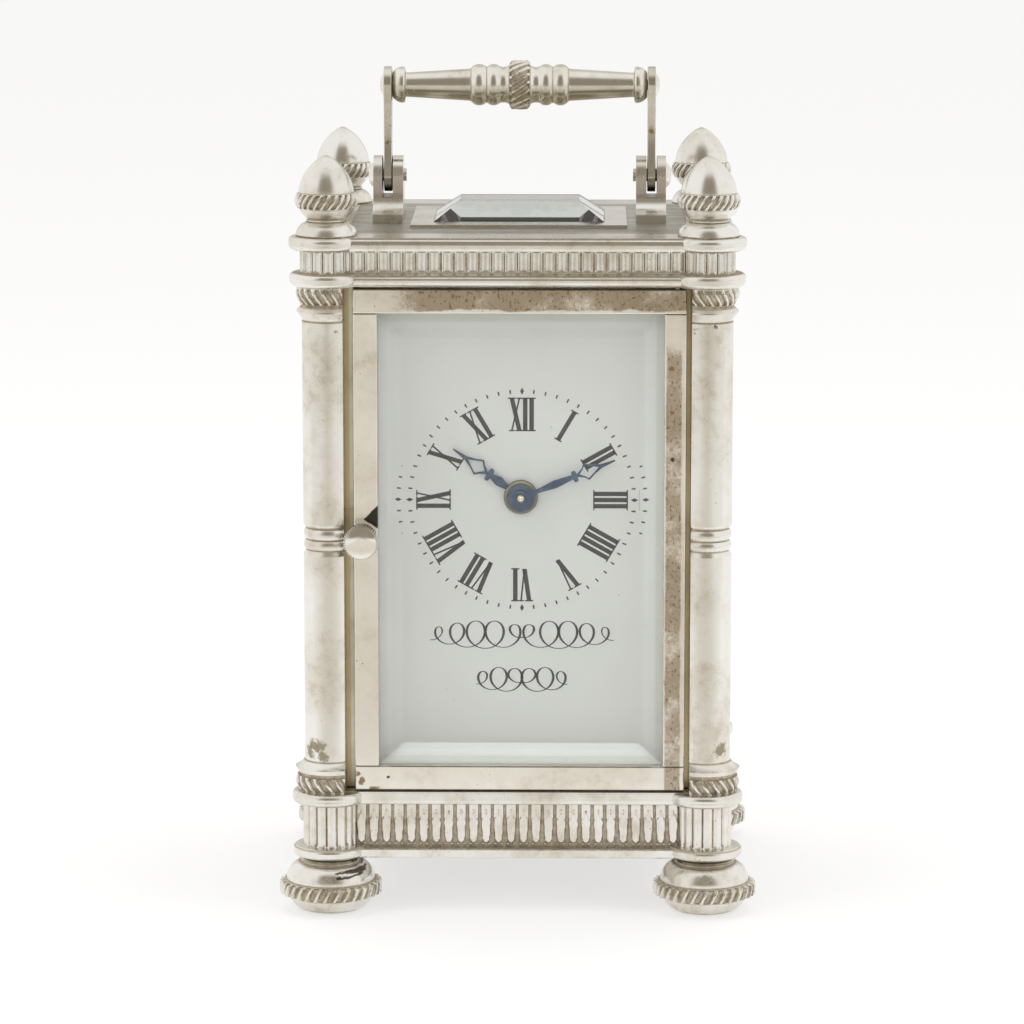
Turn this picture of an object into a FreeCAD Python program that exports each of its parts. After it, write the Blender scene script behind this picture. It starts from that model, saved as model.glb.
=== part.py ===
import FreeCAD, Part
# Carriage clock: glazed four-column case with a carrying handle and an eight-day platform-lever movement.
# Millimetres. The origin is at the bottom centre, +Z is up, the dial faces -Y, +X is to the viewer's right.
# Each sub-part is written to its own STEP file in parts/.
import math
import os

V = FreeCAD.Vector
X_AXIS = V(1, 0, 0)
Y_AXIS = V(0, 1, 0)
Z_AXIS = V(0, 0, 1)
ORIGIN = V(0, 0, 0)
SLIP = 0.05            # radial clearance of a running or threaded fit
TIP_FLAT = 0.15        # radius of the small flat on top of a domed head

# ---------------------------------------------------------------- case
COLUMN_X = 33.5        # half the column pitch across the front
COLUMN_Y = 28.0        # half the column pitch from front to back
FOOT_TOP = 9.5
BASE_TOP = 22.0
COLUMN_TOP = 112.5
CORNICE_TOP = 121.4
STUD_R = 1.5           # threaded studs that hold foot, column and finial together
COLUMN_FLAT = 2.9      # column axis to the flats that face the door and the side glass
SHAFT_R = 4.16
WEB_NEAR = 0.8         # column axis to the two outer faces of its inner web
WEB_FAR = 5.7          # column axis to the two inner faces of its inner web
RECESS_X = 27.0        # half sizes of the recess under the base
RECESS_Y = 21.5
RECESS_TOP = 17.8
PLATE_X = 30.0         # half sizes of the top plate
PLATE_Y = 25.0
PLATE_THICK = 2.0
TOP_GLASS_X = 15.3     # half sizes of the top glass at its edge
TOP_GLASS_Y = 11.0
TOP_GLASS_RISE = 3.7
TOP_GLASS_BEVEL = 4.5
BEZEL_X = 19.3
BEZEL_Y = 16.0
BEZEL_THICK = 0.5
# moulding layers: (lobe radius, overhang beyond the column axes, z0, z1, rounded edges)
BASE_LAYERS = ((6.3, 3.4, FOOT_TOP, 11.8, True), (4.6, 1.6, 11.8, 19.6, False),
               (6.35, 3.4, 19.6, BASE_TOP, True))
CORNICE_LAYERS = ((6.58, 4.5, COLUMN_TOP, 115.0, True), (4.75, 2.4, 115.0, 119.0, False),
                  (6.72, 5.06, 119.0, CORNICE_TOP, True))
SIDE_GLASS_Y = 24.9    # half width of a side glass
SIDE_GLASS_BEVEL = 4.0

# ---------------------------------------------------------------- doors
DOOR_LEFT = -28.9
DOOR_BOTTOM = 22.3
DOOR_TOP = 112.1
DOOR_FRONT = -30.6
DOOR_THICK = 3.2
WINDOW_LEFT = -24.65
WINDOW_RIGHT = 25.9
WINDOW_BOTTOM = 26.6
WINDOW_TOP = 107.9
REBATE = 1.3           # how far the glass reaches behind the frame
GLASS_BEVEL = 4.3
GLASS_BEVEL_RISE = 1.9
GLASS_EDGE = 1.05
HINGE_X = 28.1
HINGE_Y = DOOR_FRONT + DOOR_THICK / 2
HINGE_PIN_R = 0.8
KNOB_X = -27.5
KNOB_Z = 67.7
KNOB_R = 3.14
KNOB_FRONT = -35.0
KNOB_BACK = -31.6
SPINDLE_R = 0.9
TONGUE_FRONT = -26.4
TONGUE_BACK = -25.5
TONGUE_LENGTH = 4.3
TONGUE_HALF_WIDTH = 1.2

# ---------------------------------------------------------------- handle
PIVOT_Z = 129.3
GRIP_Z = 145.55
FORK_INNER = 21.0      # |x| of the fork's two outer faces
FORK_OUTER = 26.4
SLOT_INNER = 22.87     # |x| of the fork's slot
SLOT_OUTER = 24.79
SLOT_BOTTOM = 125.6
FORK_R = 3.5
ARM_INNER = 23.05
ARM_OUTER = 24.5
ARM_HUB_R = 3.33
HANDLE_PIN_R = 1.15
CLEVIS_X = 23.7
CLEVIS_SCREW_YS = (-4.6, 4.6)
CLEVIS_SCREW_R = 0.75
GRIP_SCREW_R = 0.9

# ---------------------------------------------------------------- movement
CENTRE = (0.5, 73.9)           # centre arbor, (x, z)
INTERMEDIATE = (-5.5, 63.63)
BARREL = (0.5, 45.4)
THIRD = (8.31, 82.26)
CONTRATE = (0.5, 86.4)
MINUTE = (0.5, 67.9)
PLATES_HALF_WIDTH = 24.5
PLATES_TOP = 95.5
PLATE_INNER = 13.0             # |y| of the movement plates' inner faces
MOVEMENT_PLATE_THICK = 2.0
PLATE_OUTER = PLATE_INNER + MOVEMENT_PLATE_THICK
PILLAR_DX = 21.5
PILLAR_ZS = (27.5, 91.0)
PILLAR_R = 2.2
PILLAR_SCREW_R = 0.8
CASE_SCREW_R = 0.9
CASE_SCREW_YS = (-8.0, 8.0)
ESCAPE_Y = 8.5
LEVER_Y = 4.1
BALANCE_Y = -0.2
PLATFORM_TOP = 97.1
DIAL_FRONT = -20.0
DIAL_BACK = -18.6

# wheel: (teeth, module)
GREAT = (84, 0.40)
INTERMEDIATE_PINION = (12, 0.40)
INTERMEDIATE_WHEEL = (60, 0.34)
CENTRE_PINION = (10, 0.34)
CENTRE_WHEEL = (80, 0.26)
THIRD_PINION = (8, 0.26)
THIRD_WHEEL = (60, 0.26)
CONTRATE_PINION = (8, 0.26)
CONTRATE_TEETH = (64, 0.24)
ESCAPE_PINION = (8, 0.24)
CANNON = (10, 0.30)
MINUTE_WHEEL = (30, 0.30)
MINUTE_PINION = (8, 0.30)
HOUR_WHEEL = (32, 0.30)
ADDENDUM = 0.8                 # tooth height above and below the pitch line, in modules
DEDENDUM = 1.2
TOOTH_ROOT = 0.29              # half a tooth's width at its root and at its tip, in pitches
TOOTH_TIP = 0.08
ESCAPE_TEETH = 15
ESCAPE_R = 3.2
RATCHET_TEETH = 24
RATCHET_R = 5.5

MINUTE_HAND_ANGLE = 67.9       # clockwise from twelve, degrees
HOUR_HAND_ANGLE = 305.6


# ================================================================ helpers
def box(x0, x1, y0, y1, z0, z1):
    return Part.makeBox(x1 - x0, y1 - y0, z1 - z0, V(x0, y0, z0))


def rod(radius, start, end):
    span = end.sub(start)
    return Part.makeCylinder(radius, span.Length, start, span)


def rod_y(radius, at, y0, y1):
    """Cylinder along Y at (x, z)."""
    return rod(radius, V(at[0], y0, at[1]), V(at[0], y1, at[1]))


def rod_z(radius, x, y, z0, z1):
    return rod(radius, V(x, y, z0), V(x, y, z1))


def fuse(shapes):
    first, *rest = shapes
    return first.multiFuse(rest)


def outline(steps, place):
    """Closed wire. A step (a, b) is a line to it; (a, b, c, d) is an arc through (a, b) to (c, d)."""
    here = steps[0]
    edges = []
    for step in steps[1:] + [steps[0]]:
        target = step[-2:]
        if len(step) == 4:
            edges.append(Part.Arc(place(*here), place(*step[:2]), place(*target)).toShape())
        elif (here[0] - target[0]) ** 2 + (here[1] - target[1]) ** 2 > 1e-12:
            edges.append(Part.LineSegment(place(*here), place(*target)).toShape())
        here = target
    return Part.Wire(edges)


def turned(steps, centre, direction):
    """Solid of revolution. Steps are (radius, distance along direction) from centre."""
    side = Z_AXIS if abs(direction.z) < 0.5 else X_AXIS
    face = Part.Face(outline(steps, lambda r, s: centre + side * r + direction * s))
    return face.revolve(centre, direction, 360)


def turned_z(steps, x, y):
    return turned(steps, V(x, y, 0), Z_AXIS)


def extruded(steps, place, direction):
    return Part.Face(outline(steps, place)).extrude(direction)


def plate_xz(steps, y0, y1):
    """Plate parallel to the dial, from an outline in (x, z)."""
    return extruded(steps, lambda x, z: V(x, y0, z), V(0, y1 - y0, 0))


def half_turn(shape):
    """The same part at the back of the clock."""
    copy = shape.copy()
    copy.rotate(ORIGIN, Z_AXIS, 180)
    return copy


def mirrored(shape, normal):
    return shape.mirror(ORIGIN, normal)


def save(name, shapes):
    shapes = shapes if isinstance(shapes, list) else [shapes]
    solids = [solid for shape in shapes for solid in shape.Solids]
    result = solids[0] if len(solids) == 1 else Part.makeCompound(solids)
    if not result.isValid():
        raise ValueError(name + " is not a valid solid")
    result.exportStep("parts/" + name + ".step")


# ================================================================ case
def moulding(lobe_r, overhang, z0, z1, rounded):
    """One layer of the base or cornice: straight runs between the columns and a lobe at each column."""
    edge = (z1 - z0) / 2 if rounded else 0.0
    middle = (z0 + z1) / 2

    def run(half_width, half_length, place, direction):
        flat = half_width - edge
        steps = [(-flat, z0), (flat, z0), (flat, z1), (-flat, z1)]
        if rounded:
            steps[2] = (half_width, middle, flat, z1)
            steps.append((-half_width, middle, -flat, z0))
        return extruded(steps, place, direction * (2 * half_length))

    across = run(COLUMN_Y + overhang, COLUMN_X, lambda a, z: V(-COLUMN_X, a, z), X_AXIS)
    along = run(COLUMN_X + overhang, COLUMN_Y, lambda a, z: V(a, -COLUMN_Y, z), Y_AXIS)
    profile = [(0, z0), (lobe_r - edge, z0)]
    profile += [(lobe_r, middle, lobe_r - edge, z1)] if rounded else [(lobe_r, z1)]
    profile += [(0, z1)]
    lobes = [turned_z(profile, sx * COLUMN_X, sy * COLUMN_Y) for sx in (-1, 1) for sy in (-1, 1)]
    return [across, along] + lobes


def corner_bores(z0, z1):
    return [rod_z(STUD_R + SLIP, sx * COLUMN_X, sy * COLUMN_Y, z0, z1) for sx in (-1, 1) for sy in (-1, 1)]


def hinge_bores(z0, z1):
    bore = rod_z(HINGE_PIN_R + SLIP, HINGE_X, HINGE_Y, z0, z1)
    return [bore, half_turn(bore)]


def base():
    """Cast base with a recess underneath, a torus at top and bottom and a frieze between them."""
    layers = [solid for layer in BASE_LAYERS for solid in moulding(*layer)]
    recess = box(-RECESS_X, RECESS_X, -RECESS_Y, RECESS_Y, FOOT_TOP - 1, RECESS_TOP)
    screws = [rod_z(CASE_SCREW_R + SLIP, CENTRE[0] + sx * PILLAR_DX, y, RECESS_TOP - 1, BASE_TOP + 1)
              for sx in (-1, 1) for y in CASE_SCREW_YS]
    return fuse(layers).cut([recess] + corner_bores(0, 30) + hinge_bores(19.8, 30) + screws)


def cornice():
    """Cornice casting: ovolo, frieze and torus, open in the middle and rebated for the top plate."""
    layers = [solid for layer in CORNICE_LAYERS for solid in moulding(*layer)]
    opening = box(-PLATE_X + 1.2, PLATE_X - 1.2, -PLATE_Y + 1.2, PLATE_Y - 1.2, 100, 130)
    rebate = box(-PLATE_X - SLIP, PLATE_X + SLIP, -PLATE_Y - SLIP, PLATE_Y + SLIP,
                 CORNICE_TOP - PLATE_THICK, 130)
    return fuse(layers).cut([opening, rebate] + corner_bores(100, 130) + hinge_bores(100, 114.6))


def foot(x, y):
    """Bun foot with a rope band; its stud runs up through the base into the column."""
    profile = [(0, 0), (4.5, 0), (6.36, 0.55, 7.7, 1.9), (7.9, 2.0), (9.25, 4.0, 7.9, 6.0)]
    profile += [(7.3, 7.9, 5.4, 9.1), (5.0, FOOT_TOP), (STUD_R, FOOT_TOP), (STUD_R, 33.0), (0, 33.0)]
    return turned_z(profile, x, y)


def finial(x, y):
    """Turned finial; its stud runs down through the cornice into the column."""
    top = CORNICE_TOP
    profile = [(0, 103.0), (STUD_R, 103.0), (STUD_R, top), (4.2, top), (5.45, 122.7, 4.2, 124.0)]
    profile += [(3.45, 124.2), (4.0, 125.5, 5.34, 126.3), (5.0, 126.4), (5.76, 127.65, 5.0, 128.9)]
    profile += [(4.88, 129.0), (4.3, 132.4, 2.2, 134.6), (0, 135.5)]
    return turned_z(profile, x, y)


def front_left_column(mortise):
    """Three-quarter column with an inner web that forms the door stop and the side glass rebate."""
    profile = [(0, BASE_TOP), (5.2, BASE_TOP), (5.75, 23.5, 5.2, 24.8), (5.2, 25.4), (5.5, 25.4)]
    profile += [(5.8, 26.35), (4.9, 26.9, SHAFT_R, 27.6), (SHAFT_R, 64.8), (3.6, 65.7)]
    profile += [(4.08, 66.6, 3.6, 67.5), (4.08, 68.55, 3.6, 69.6), (SHAFT_R, 70.2), (SHAFT_R, 106.4)]
    profile += [(4.4, 107.4, 5.4, 108.15), (4.5, 109.2), (4.9, 109.6), (5.57, 111.2, 5.3, 112.4)]
    profile += [(5.3, COLUMN_TOP), (0, COLUMN_TOP)]
    axis_x, axis_y = -COLUMN_X, -COLUMN_Y
    kept = box(axis_x - 10, axis_x + COLUMN_FLAT, axis_y - 10, axis_y + COLUMN_FLAT, 0, 150)
    web = box(axis_x + WEB_NEAR, axis_x + WEB_FAR, axis_y + WEB_NEAR, axis_y + WEB_FAR,
              BASE_TOP, COLUMN_TOP)
    body = fuse([turned_z(profile, axis_x, axis_y).common(kept), web])
    cuts = [rod_z(STUD_R + SLIP, axis_x, axis_y, 0, 34.0), rod_z(STUD_R + SLIP, axis_x, axis_y, 102.0, 130)]
    if mortise:
        low, high = KNOB_Z - 1.7, KNOB_Z + TONGUE_LENGTH + 0.6
        cuts.append(box(axis_x + 1.3, -27, TONGUE_FRONT - 0.2, TONGUE_BACK + 0.3, low, high))
        cuts.append(box(DOOR_LEFT - 0.1, -27, axis_y, TONGUE_FRONT, low, high))
    return body.cut(cuts)


def bevelled(corner_a, corner_b, bevel, place):
    """Glass block: (a, b) rectangle at depths d0..d1 whose face slopes in by bevel up to depth d2."""
    a0, b0, d0, d1, d2 = corner_a
    a1, b1 = corner_b

    def ring(inset, depth):
        corners = [(a0 + inset, b0 + inset), (a1 - inset, b0 + inset), (a1 - inset, b1 - inset),
                   (a0 + inset, b1 - inset)]
        points = [place(a, b, depth) for a, b in corners]
        return Part.makePolygon(points + points[:1])

    edge = Part.makeLoft([ring(0, d0), ring(0, d1)], True, True)
    return Part.makeLoft([ring(0, d1), ring(bevel, d2)], True, True), edge


def side_glass():
    """Left side glass; it lies against the column webs, bevelled on its outer face."""
    def place(a, b, depth):
        return V(-depth, a, b)

    inner = COLUMN_X - WEB_NEAR + 0.1
    gap = 0.15
    low = (-SIDE_GLASS_Y, BASE_TOP + gap, inner, inner + 1.4, inner + 2.6)
    high = (SIDE_GLASS_Y, COLUMN_TOP - gap)
    return fuse(list(bevelled(low, high, SIDE_GLASS_BEVEL, place)))


def top_plate():
    hole = box(-TOP_GLASS_X + 1.2, TOP_GLASS_X - 1.2, -TOP_GLASS_Y + 1.2, TOP_GLASS_Y - 1.2, 100, 130)
    seat = box(-TOP_GLASS_X - SLIP, TOP_GLASS_X + SLIP, -TOP_GLASS_Y - SLIP, TOP_GLASS_Y + SLIP,
               CORNICE_TOP - 1.3, 130)
    plate = box(-PLATE_X, PLATE_X, -PLATE_Y, PLATE_Y, CORNICE_TOP - PLATE_THICK, CORNICE_TOP)
    screws = [rod_z(CLEVIS_SCREW_R + SLIP, side * CLEVIS_X, y, 100, 130)
              for side in (-1, 1) for y in CLEVIS_SCREW_YS]
    return plate.cut([hole, seat] + screws)


def top_glass_bezel():
    outer = box(-BEZEL_X, BEZEL_X, -BEZEL_Y, BEZEL_Y, CORNICE_TOP, CORNICE_TOP + BEZEL_THICK)
    reach_x, reach_y = TOP_GLASS_X + SLIP, TOP_GLASS_Y + SLIP
    return outer.cut(box(-reach_x, reach_x, -reach_y, reach_y, 100, 130))


def top_glass():
    depths = (CORNICE_TOP - 1.3, CORNICE_TOP + BEZEL_THICK, CORNICE_TOP + TOP_GLASS_RISE)
    low = (-TOP_GLASS_X, -TOP_GLASS_Y) + depths
    return fuse(list(bevelled(low, (TOP_GLASS_X, TOP_GLASS_Y), TOP_GLASS_BEVEL, V)))


# ================================================================ doors
def door_frame():
    """Front door frame. Its back edge beside the hinge is rounded about the pins so that it can swing."""
    back = DOOR_FRONT + DOOR_THICK
    half = DOOR_THICK / 2
    right = HINGE_X + half
    frame = box(DOOR_LEFT, right, DOOR_FRONT, back, DOOR_BOTTOM, DOOR_TOP)
    corner = box(HINGE_X, right, HINGE_Y, back, DOOR_BOTTOM, DOOR_TOP)
    corner = corner.cut(rod_z(half, HINGE_X, HINGE_Y, DOOR_BOTTOM, DOOR_TOP))
    window = box(WINDOW_LEFT, WINDOW_RIGHT, DOOR_FRONT, back, WINDOW_BOTTOM, WINDOW_TOP)
    rebate = box(WINDOW_LEFT - REBATE, WINDOW_RIGHT + REBATE, back - GLASS_EDGE - 0.1, back,
                 WINDOW_BOTTOM - REBATE, WINDOW_TOP + REBATE)
    bores = [rod_z(HINGE_PIN_R + SLIP, HINGE_X, HINGE_Y, DOOR_BOTTOM - 1, 25.0),
             rod_z(HINGE_PIN_R + SLIP, HINGE_X, HINGE_Y, 109.5, DOOR_TOP + 1),
             rod_y(SPINDLE_R + SLIP, (KNOB_X, KNOB_Z), DOOR_FRONT - 1, back + 1)]
    return frame.cut([corner, window, rebate] + bores)


def door_glass():
    """Thick door glass, bevelled on its outer face, held in the frame's rebate."""
    def place(a, b, depth):
        return V(a, depth, b)

    back = DOOR_FRONT + DOOR_THICK
    gap = 0.05
    edge = REBATE - gap
    pane = box(WINDOW_LEFT - edge, WINDOW_RIGHT + edge, back - GLASS_EDGE, back,
               WINDOW_BOTTOM - edge, WINDOW_TOP + edge)
    depths = (back - 0.5, back - GLASS_EDGE, back - GLASS_EDGE - GLASS_BEVEL_RISE)
    raised = bevelled((WINDOW_LEFT + gap, WINDOW_BOTTOM + gap) + depths,
                      (WINDOW_RIGHT - gap, WINDOW_TOP - gap), GLASS_BEVEL, place)
    return fuse([pane] + list(raised))


def door_knob():
    """Knob, collar and spindle turned in one piece."""
    profile = [(0, TONGUE_BACK + 0.1), (SPINDLE_R, TONGUE_BACK + 0.1), (SPINDLE_R, DOOR_FRONT - 0.05)]
    profile += [(1.7, DOOR_FRONT - 0.05), (1.7, KNOB_BACK), (KNOB_R, KNOB_BACK), (KNOB_R, KNOB_FRONT + 0.6)]
    profile += [(KNOB_R - 0.25, KNOB_FRONT + 0.3), (1.6, KNOB_FRONT + 0.07, TIP_FLAT, KNOB_FRONT)]
    profile += [(0, KNOB_FRONT)]
    return turned(profile, V(KNOB_X, 0, KNOB_Z), Y_AXIS)


def latch():
    """Latch tongue, fixed on the spindle behind the door and pointing up when it is free."""
    half = TONGUE_HALF_WIDTH
    x, z = KNOB_X, KNOB_Z
    tip = z + TONGUE_LENGTH
    tongue = plate_xz([(x - half, z), (x, z - half, x + half, z), (x + half - 0.3, tip - half),
                       (x, tip, x - half + 0.3, tip - half)], TONGUE_FRONT, TONGUE_BACK)
    return tongue.cut(rod_y(SPINDLE_R + 0.02, (x, z), TONGUE_FRONT - 1, TONGUE_BACK + 1))


def hinge_pins():
    pins = [rod_z(HINGE_PIN_R, HINGE_X, HINGE_Y, z0, z1) for z0, z1 in ((19.9, 24.9), (109.6, 114.5))]
    return pins + [half_turn(pin) for pin in pins]


# ================================================================ handle
def clevis(side):
    """Forked bracket that carries one end of the handle on the top plate."""
    top = CORNICE_TOP
    profile = [(-7.3, top), (7.3, top), (7.3, top + 1.4), (4.6, 123.9, FORK_R, 126.4), (FORK_R, PIVOT_Z)]
    profile += [(0, PIVOT_Z + FORK_R, -FORK_R, PIVOT_Z), (-FORK_R, 126.4), (-4.6, 123.9, -7.3, top + 1.4)]
    start, end = sorted((side * FORK_INNER, side * FORK_OUTER))
    body = extruded(profile, lambda y, z: V(start, y, z), V(end - start, 0, 0))
    slot = sorted((side * SLOT_INNER, side * SLOT_OUTER))
    cuts = [box(slot[0], slot[1], -10, 10, SLOT_BOTTOM, 140)]
    cuts.append(rod(HANDLE_PIN_R + 0.03, V(start - 1, 0, PIVOT_Z), V(end + 1, 0, PIVOT_Z)))
    cuts += [rod_z(CLEVIS_SCREW_R + SLIP, side * CLEVIS_X, y, top - 1, top + 1.2) for y in CLEVIS_SCREW_YS]
    return body.cut(cuts)


def handle_pin(side):
    """Pivot pin with a domed head outside the fork."""
    seat = FORK_OUTER + 0.02
    start = FORK_INNER - 0.53
    profile = [(0, start), (HANDLE_PIN_R, start), (HANDLE_PIN_R, seat), (2.3, seat)]
    profile += [(1.6, 27.05, TIP_FLAT, 27.35), (0, 27.35)]
    return turned(profile, V(0, 0, PIVOT_Z), X_AXIS * side)


def handle_arm(side):
    """Flat waisted arm with a pivot eye at the bottom and a hub for the grip at the top."""
    low, high = PIVOT_Z, GRIP_Z
    eye, waist = 3.0, 1.9
    profile = [(-eye, low), (0, low - eye, eye, low), (waist, low + 4.6), (waist, high - 5.2)]
    profile += [(ARM_HUB_R, high), (0, high + ARM_HUB_R, -ARM_HUB_R, high)]
    profile += [(-waist, high - 5.2), (-waist, low + 4.6)]
    start, end = sorted((side * ARM_INNER, side * ARM_OUTER))
    body = extruded(profile, lambda y, z: V(start, y, z), V(end - start, 0, 0))
    pivot = rod(HANDLE_PIN_R + SLIP, V(start - 1, 0, low), V(end + 1, 0, low))
    screw = rod(GRIP_SCREW_R + SLIP, V(start - 1, 0, high), V(end + 1, 0, high))
    return body.cut([pivot, screw])


def handle_screw(side):
    """Domed screw that holds the grip between the arms."""
    seat = ARM_OUTER + 0.02
    profile = [(0, 17.5), (GRIP_SCREW_R, 17.5), (GRIP_SCREW_R, seat), (2.0, seat)]
    profile += [(1.4, 24.98, TIP_FLAT, 25.2), (0, 25.2)]
    return turned(profile, V(0, 0, GRIP_Z), X_AXIS * side)


def grip():
    """Turned grip: rope band in the middle, a pair of beads each side, tapered ends with quarter knobs."""
    half = [(4.0, 1.7), (3.3, 2.3, 3.25, 3.6), (3.73, 4.75, 3.3, 5.9), (3.3, 6.1), (3.73, 7.3, 3.1, 8.7)]
    half += [(3.0, 9.2), (2.28, 20.6), (3.27, 21.2, 3.27, 22.95)]
    left = [(step[0], -step[1]) + ((step[2], -step[3]) if len(step) == 4 else ()) for step in half]
    profile = [(0, -22.95), (3.27, -22.95), (3.27, -21.2, 2.28, -20.6), (3.0, -9.2), (3.1, -8.7)]
    profile += [(3.73, -7.3, 3.3, -6.1), (3.3, -5.9), (3.73, -4.75, 3.25, -3.6), (3.3, -2.3) + left[0]]
    profile += [(4.45, 0, 4.0, 1.7)] + half[1:] + [(0, 22.95)]
    body = turned(profile, V(0, 0, GRIP_Z), X_AXIS)
    bores = [rod(GRIP_SCREW_R + SLIP, V(side * 17.0, 0, GRIP_Z), V(side * 24, 0, GRIP_Z))
             for side in (-1, 1)]
    return body.cut(bores)


# ================================================================ wheels
def pitch_radius(wheel):
    return wheel[0] * wheel[1] / 2


def toothed(wheel, at, y0, y1, first_tooth):
    """Disc with straight-sided teeth; first_tooth is the angle of one tooth from +X to +Z, in radians."""
    teeth, module = wheel
    radius = pitch_radius(wheel)
    root, tip = radius - DEDENDUM * module, radius + ADDENDUM * module
    pitch_angle = 2 * math.pi / teeth
    half_root = TOOTH_ROOT * pitch_angle
    half_tip = TOOTH_TIP * pitch_angle
    points = []
    for tooth in range(teeth):
        middle = first_tooth + pitch_angle * tooth
        for reach, offset in ((root, -half_root), (tip, -half_tip), (tip, half_tip), (root, half_root)):
            angle = middle + offset
            points.append(V(at[0] + reach * math.cos(angle), y0, at[1] + reach * math.sin(angle)))
    return Part.Face(Part.makePolygon(points + points[:1])).extrude(V(0, y1 - y0, 0))


def meshing(driver, driver_at, driver_tooth, follower, follower_at):
    """First-tooth angle of a follower so that its gap meets the driver's tooth on the line of centres."""
    line = math.atan2(follower_at[1] - driver_at[1], follower_at[0] - driver_at[0])
    offset = (driver_tooth - line) % (2 * math.pi / driver[0])
    return line + math.pi - offset * driver[0] / follower[0] + math.pi / follower[0]


def crossed(wheel_solid, at, y0, y1, hub_r, rim_r, spokes=5, width=1.3):
    """Wheel with the spaces between its spokes cut out."""
    ring = rod_y(rim_r, at, y0 - 1, y1 + 1).cut(rod_y(hub_r, at, y0 - 2, y1 + 2))
    bars = []
    for spoke in range(spokes):
        bar = box(0, rim_r + 1, y0 - 2, y1 + 2, -width / 2, width / 2)
        bar.rotate(ORIGIN, Y_AXIS, 360 * spoke / spokes + 18)
        bar.translate(V(at[0], 0, at[1]))
        bars.append(bar)
    return wheel_solid.cut(ring.cut(bars))


def arbor(at, radius, pivot_r, front=-PLATE_OUTER, back=PLATE_OUTER):
    """Arbor between the plates with a thinner pivot in each plate."""
    body = rod_y(radius, at, -PLATE_INNER + 0.1, PLATE_INNER - 0.1)
    return [body, rod_y(pivot_r, at, front, back)]


CENTRE_TOOTH = math.radians(90)
CENTRE_PINION_TOOTH = math.radians(90)
INTERMEDIATE_TOOTH = meshing(CENTRE_PINION, CENTRE, CENTRE_PINION_TOOTH,
                             INTERMEDIATE_WHEEL, INTERMEDIATE)
INTERMEDIATE_PINION_TOOTH = math.radians(90)
GREAT_TOOTH = meshing(INTERMEDIATE_PINION, INTERMEDIATE, INTERMEDIATE_PINION_TOOTH, GREAT, BARREL)
THIRD_PINION_TOOTH = meshing(CENTRE_WHEEL, CENTRE, CENTRE_TOOTH, THIRD_PINION, THIRD)
THIRD_TOOTH = math.radians(90)
CONTRATE_PINION_TOOTH = meshing(THIRD_WHEEL, THIRD, THIRD_TOOTH, CONTRATE_PINION, CONTRATE)
CANNON_TOOTH = math.radians(90)
MINUTE_TOOTH = meshing(CANNON, CENTRE, CANNON_TOOTH, MINUTE_WHEEL, MINUTE)
MINUTE_PINION_TOOTH = math.radians(90)
HOUR_TOOTH = meshing(MINUTE_PINION, MINUTE, MINUTE_PINION_TOOTH, HOUR_WHEEL, CENTRE)


# ================================================================ going train
def barrel():
    """Going barrel: drum with the great wheel at its front edge and a cover at its back."""
    front, back, drum_r, wall = -4.5, 11.0, 15.5, 1.1
    wheel = toothed(GREAT, BARREL, front, front + 1.5, GREAT_TOOTH)
    drum = rod_y(drum_r, BARREL, front + 1, back)
    hollow = rod_y(drum_r - wall, BARREL, front + 1.5, back - 1.0)
    return fuse([wheel, drum]).cut([hollow, rod_y(2.4 + SLIP, BARREL, front - 1, back + 1)])


def spiral(at, r0, r1, turns, thick, place, direction, steps_per_turn=20):
    """Flat spiral strip between two radii."""
    count = int(turns * steps_per_turn)
    inner, outer = [], []
    for step in range(count + 1):
        angle = 2 * math.pi * step / steps_per_turn
        radius = r0 + (r1 - r0) * step / count
        for side, reach in ((inner, radius), (outer, radius + thick)):
            side.append(place(at[0] + reach * math.cos(angle), at[1] + reach * math.sin(angle)))
    points = inner + outer[::-1]
    return Part.Face(Part.makePolygon(points + points[:1])).extrude(direction)


def mainspring():
    return spiral(BARREL, 4.0, 13.6, 7, 0.45, lambda x, z: V(x, -2.7, z), V(0, 12.2, 0))


def barrel_arbor():
    """Barrel arbor with the winding square at its back end."""
    core = rod_y(2.4, BARREL, -PLATE_INNER + 0.1, PLATE_INNER - 0.1)
    pivots = rod_y(1.8, BARREL, -PLATE_OUTER, PLATE_OUTER + 0.3)
    half = 1.3
    x, z = BARREL
    square = box(x - half, x + half, PLATE_OUTER, 21.6, z - half, z + half)
    return fuse([core, pivots, square])


def ratchet_wheel():
    """Ratchet wheel on the winding square, with saw teeth."""
    points = []
    for tooth in range(RATCHET_TEETH):
        start = 2 * math.pi * tooth / RATCHET_TEETH
        for reach, angle in ((RATCHET_R, start), (RATCHET_R - 0.8, start + 0.02)):
            points.append(V(BARREL[0] + reach * math.cos(angle), PLATE_OUTER + 0.4,
                            BARREL[1] + reach * math.sin(angle)))
    wheel = Part.Face(Part.makePolygon(points + points[:1])).extrude(V(0, 1.0, 0))
    half = 1.33
    x, z = BARREL
    return wheel.cut(box(x - half, x + half, 10, 20, z - half, z + half))


CLICK_PIVOT = (BARREL[0] + 8.6, BARREL[1] + 4.6)


def click():
    """Click: its beak rides just outside the ratchet teeth while the clock is wound."""
    px, pz = CLICK_PIVOT
    angle = math.radians(55)
    reach = RATCHET_R + 0.08
    bx, bz = BARREL[0] + reach * math.cos(angle), BARREL[1] + reach * math.sin(angle)
    body = plate_xz([(px - 0.9, pz - 1.2), (px + 1.4, pz), (px - 0.4, pz + 1.5), (bx + 0.5, bz + 1.1),
                     (bx, bz)], PLATE_OUTER + 0.4, PLATE_OUTER + 1.4)
    return fuse([body, rod_y(1.5, CLICK_PIVOT, PLATE_OUTER + 0.4, PLATE_OUTER + 1.4)]).cut(
        rod_y(0.75, CLICK_PIVOT, 10, 20))


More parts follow.
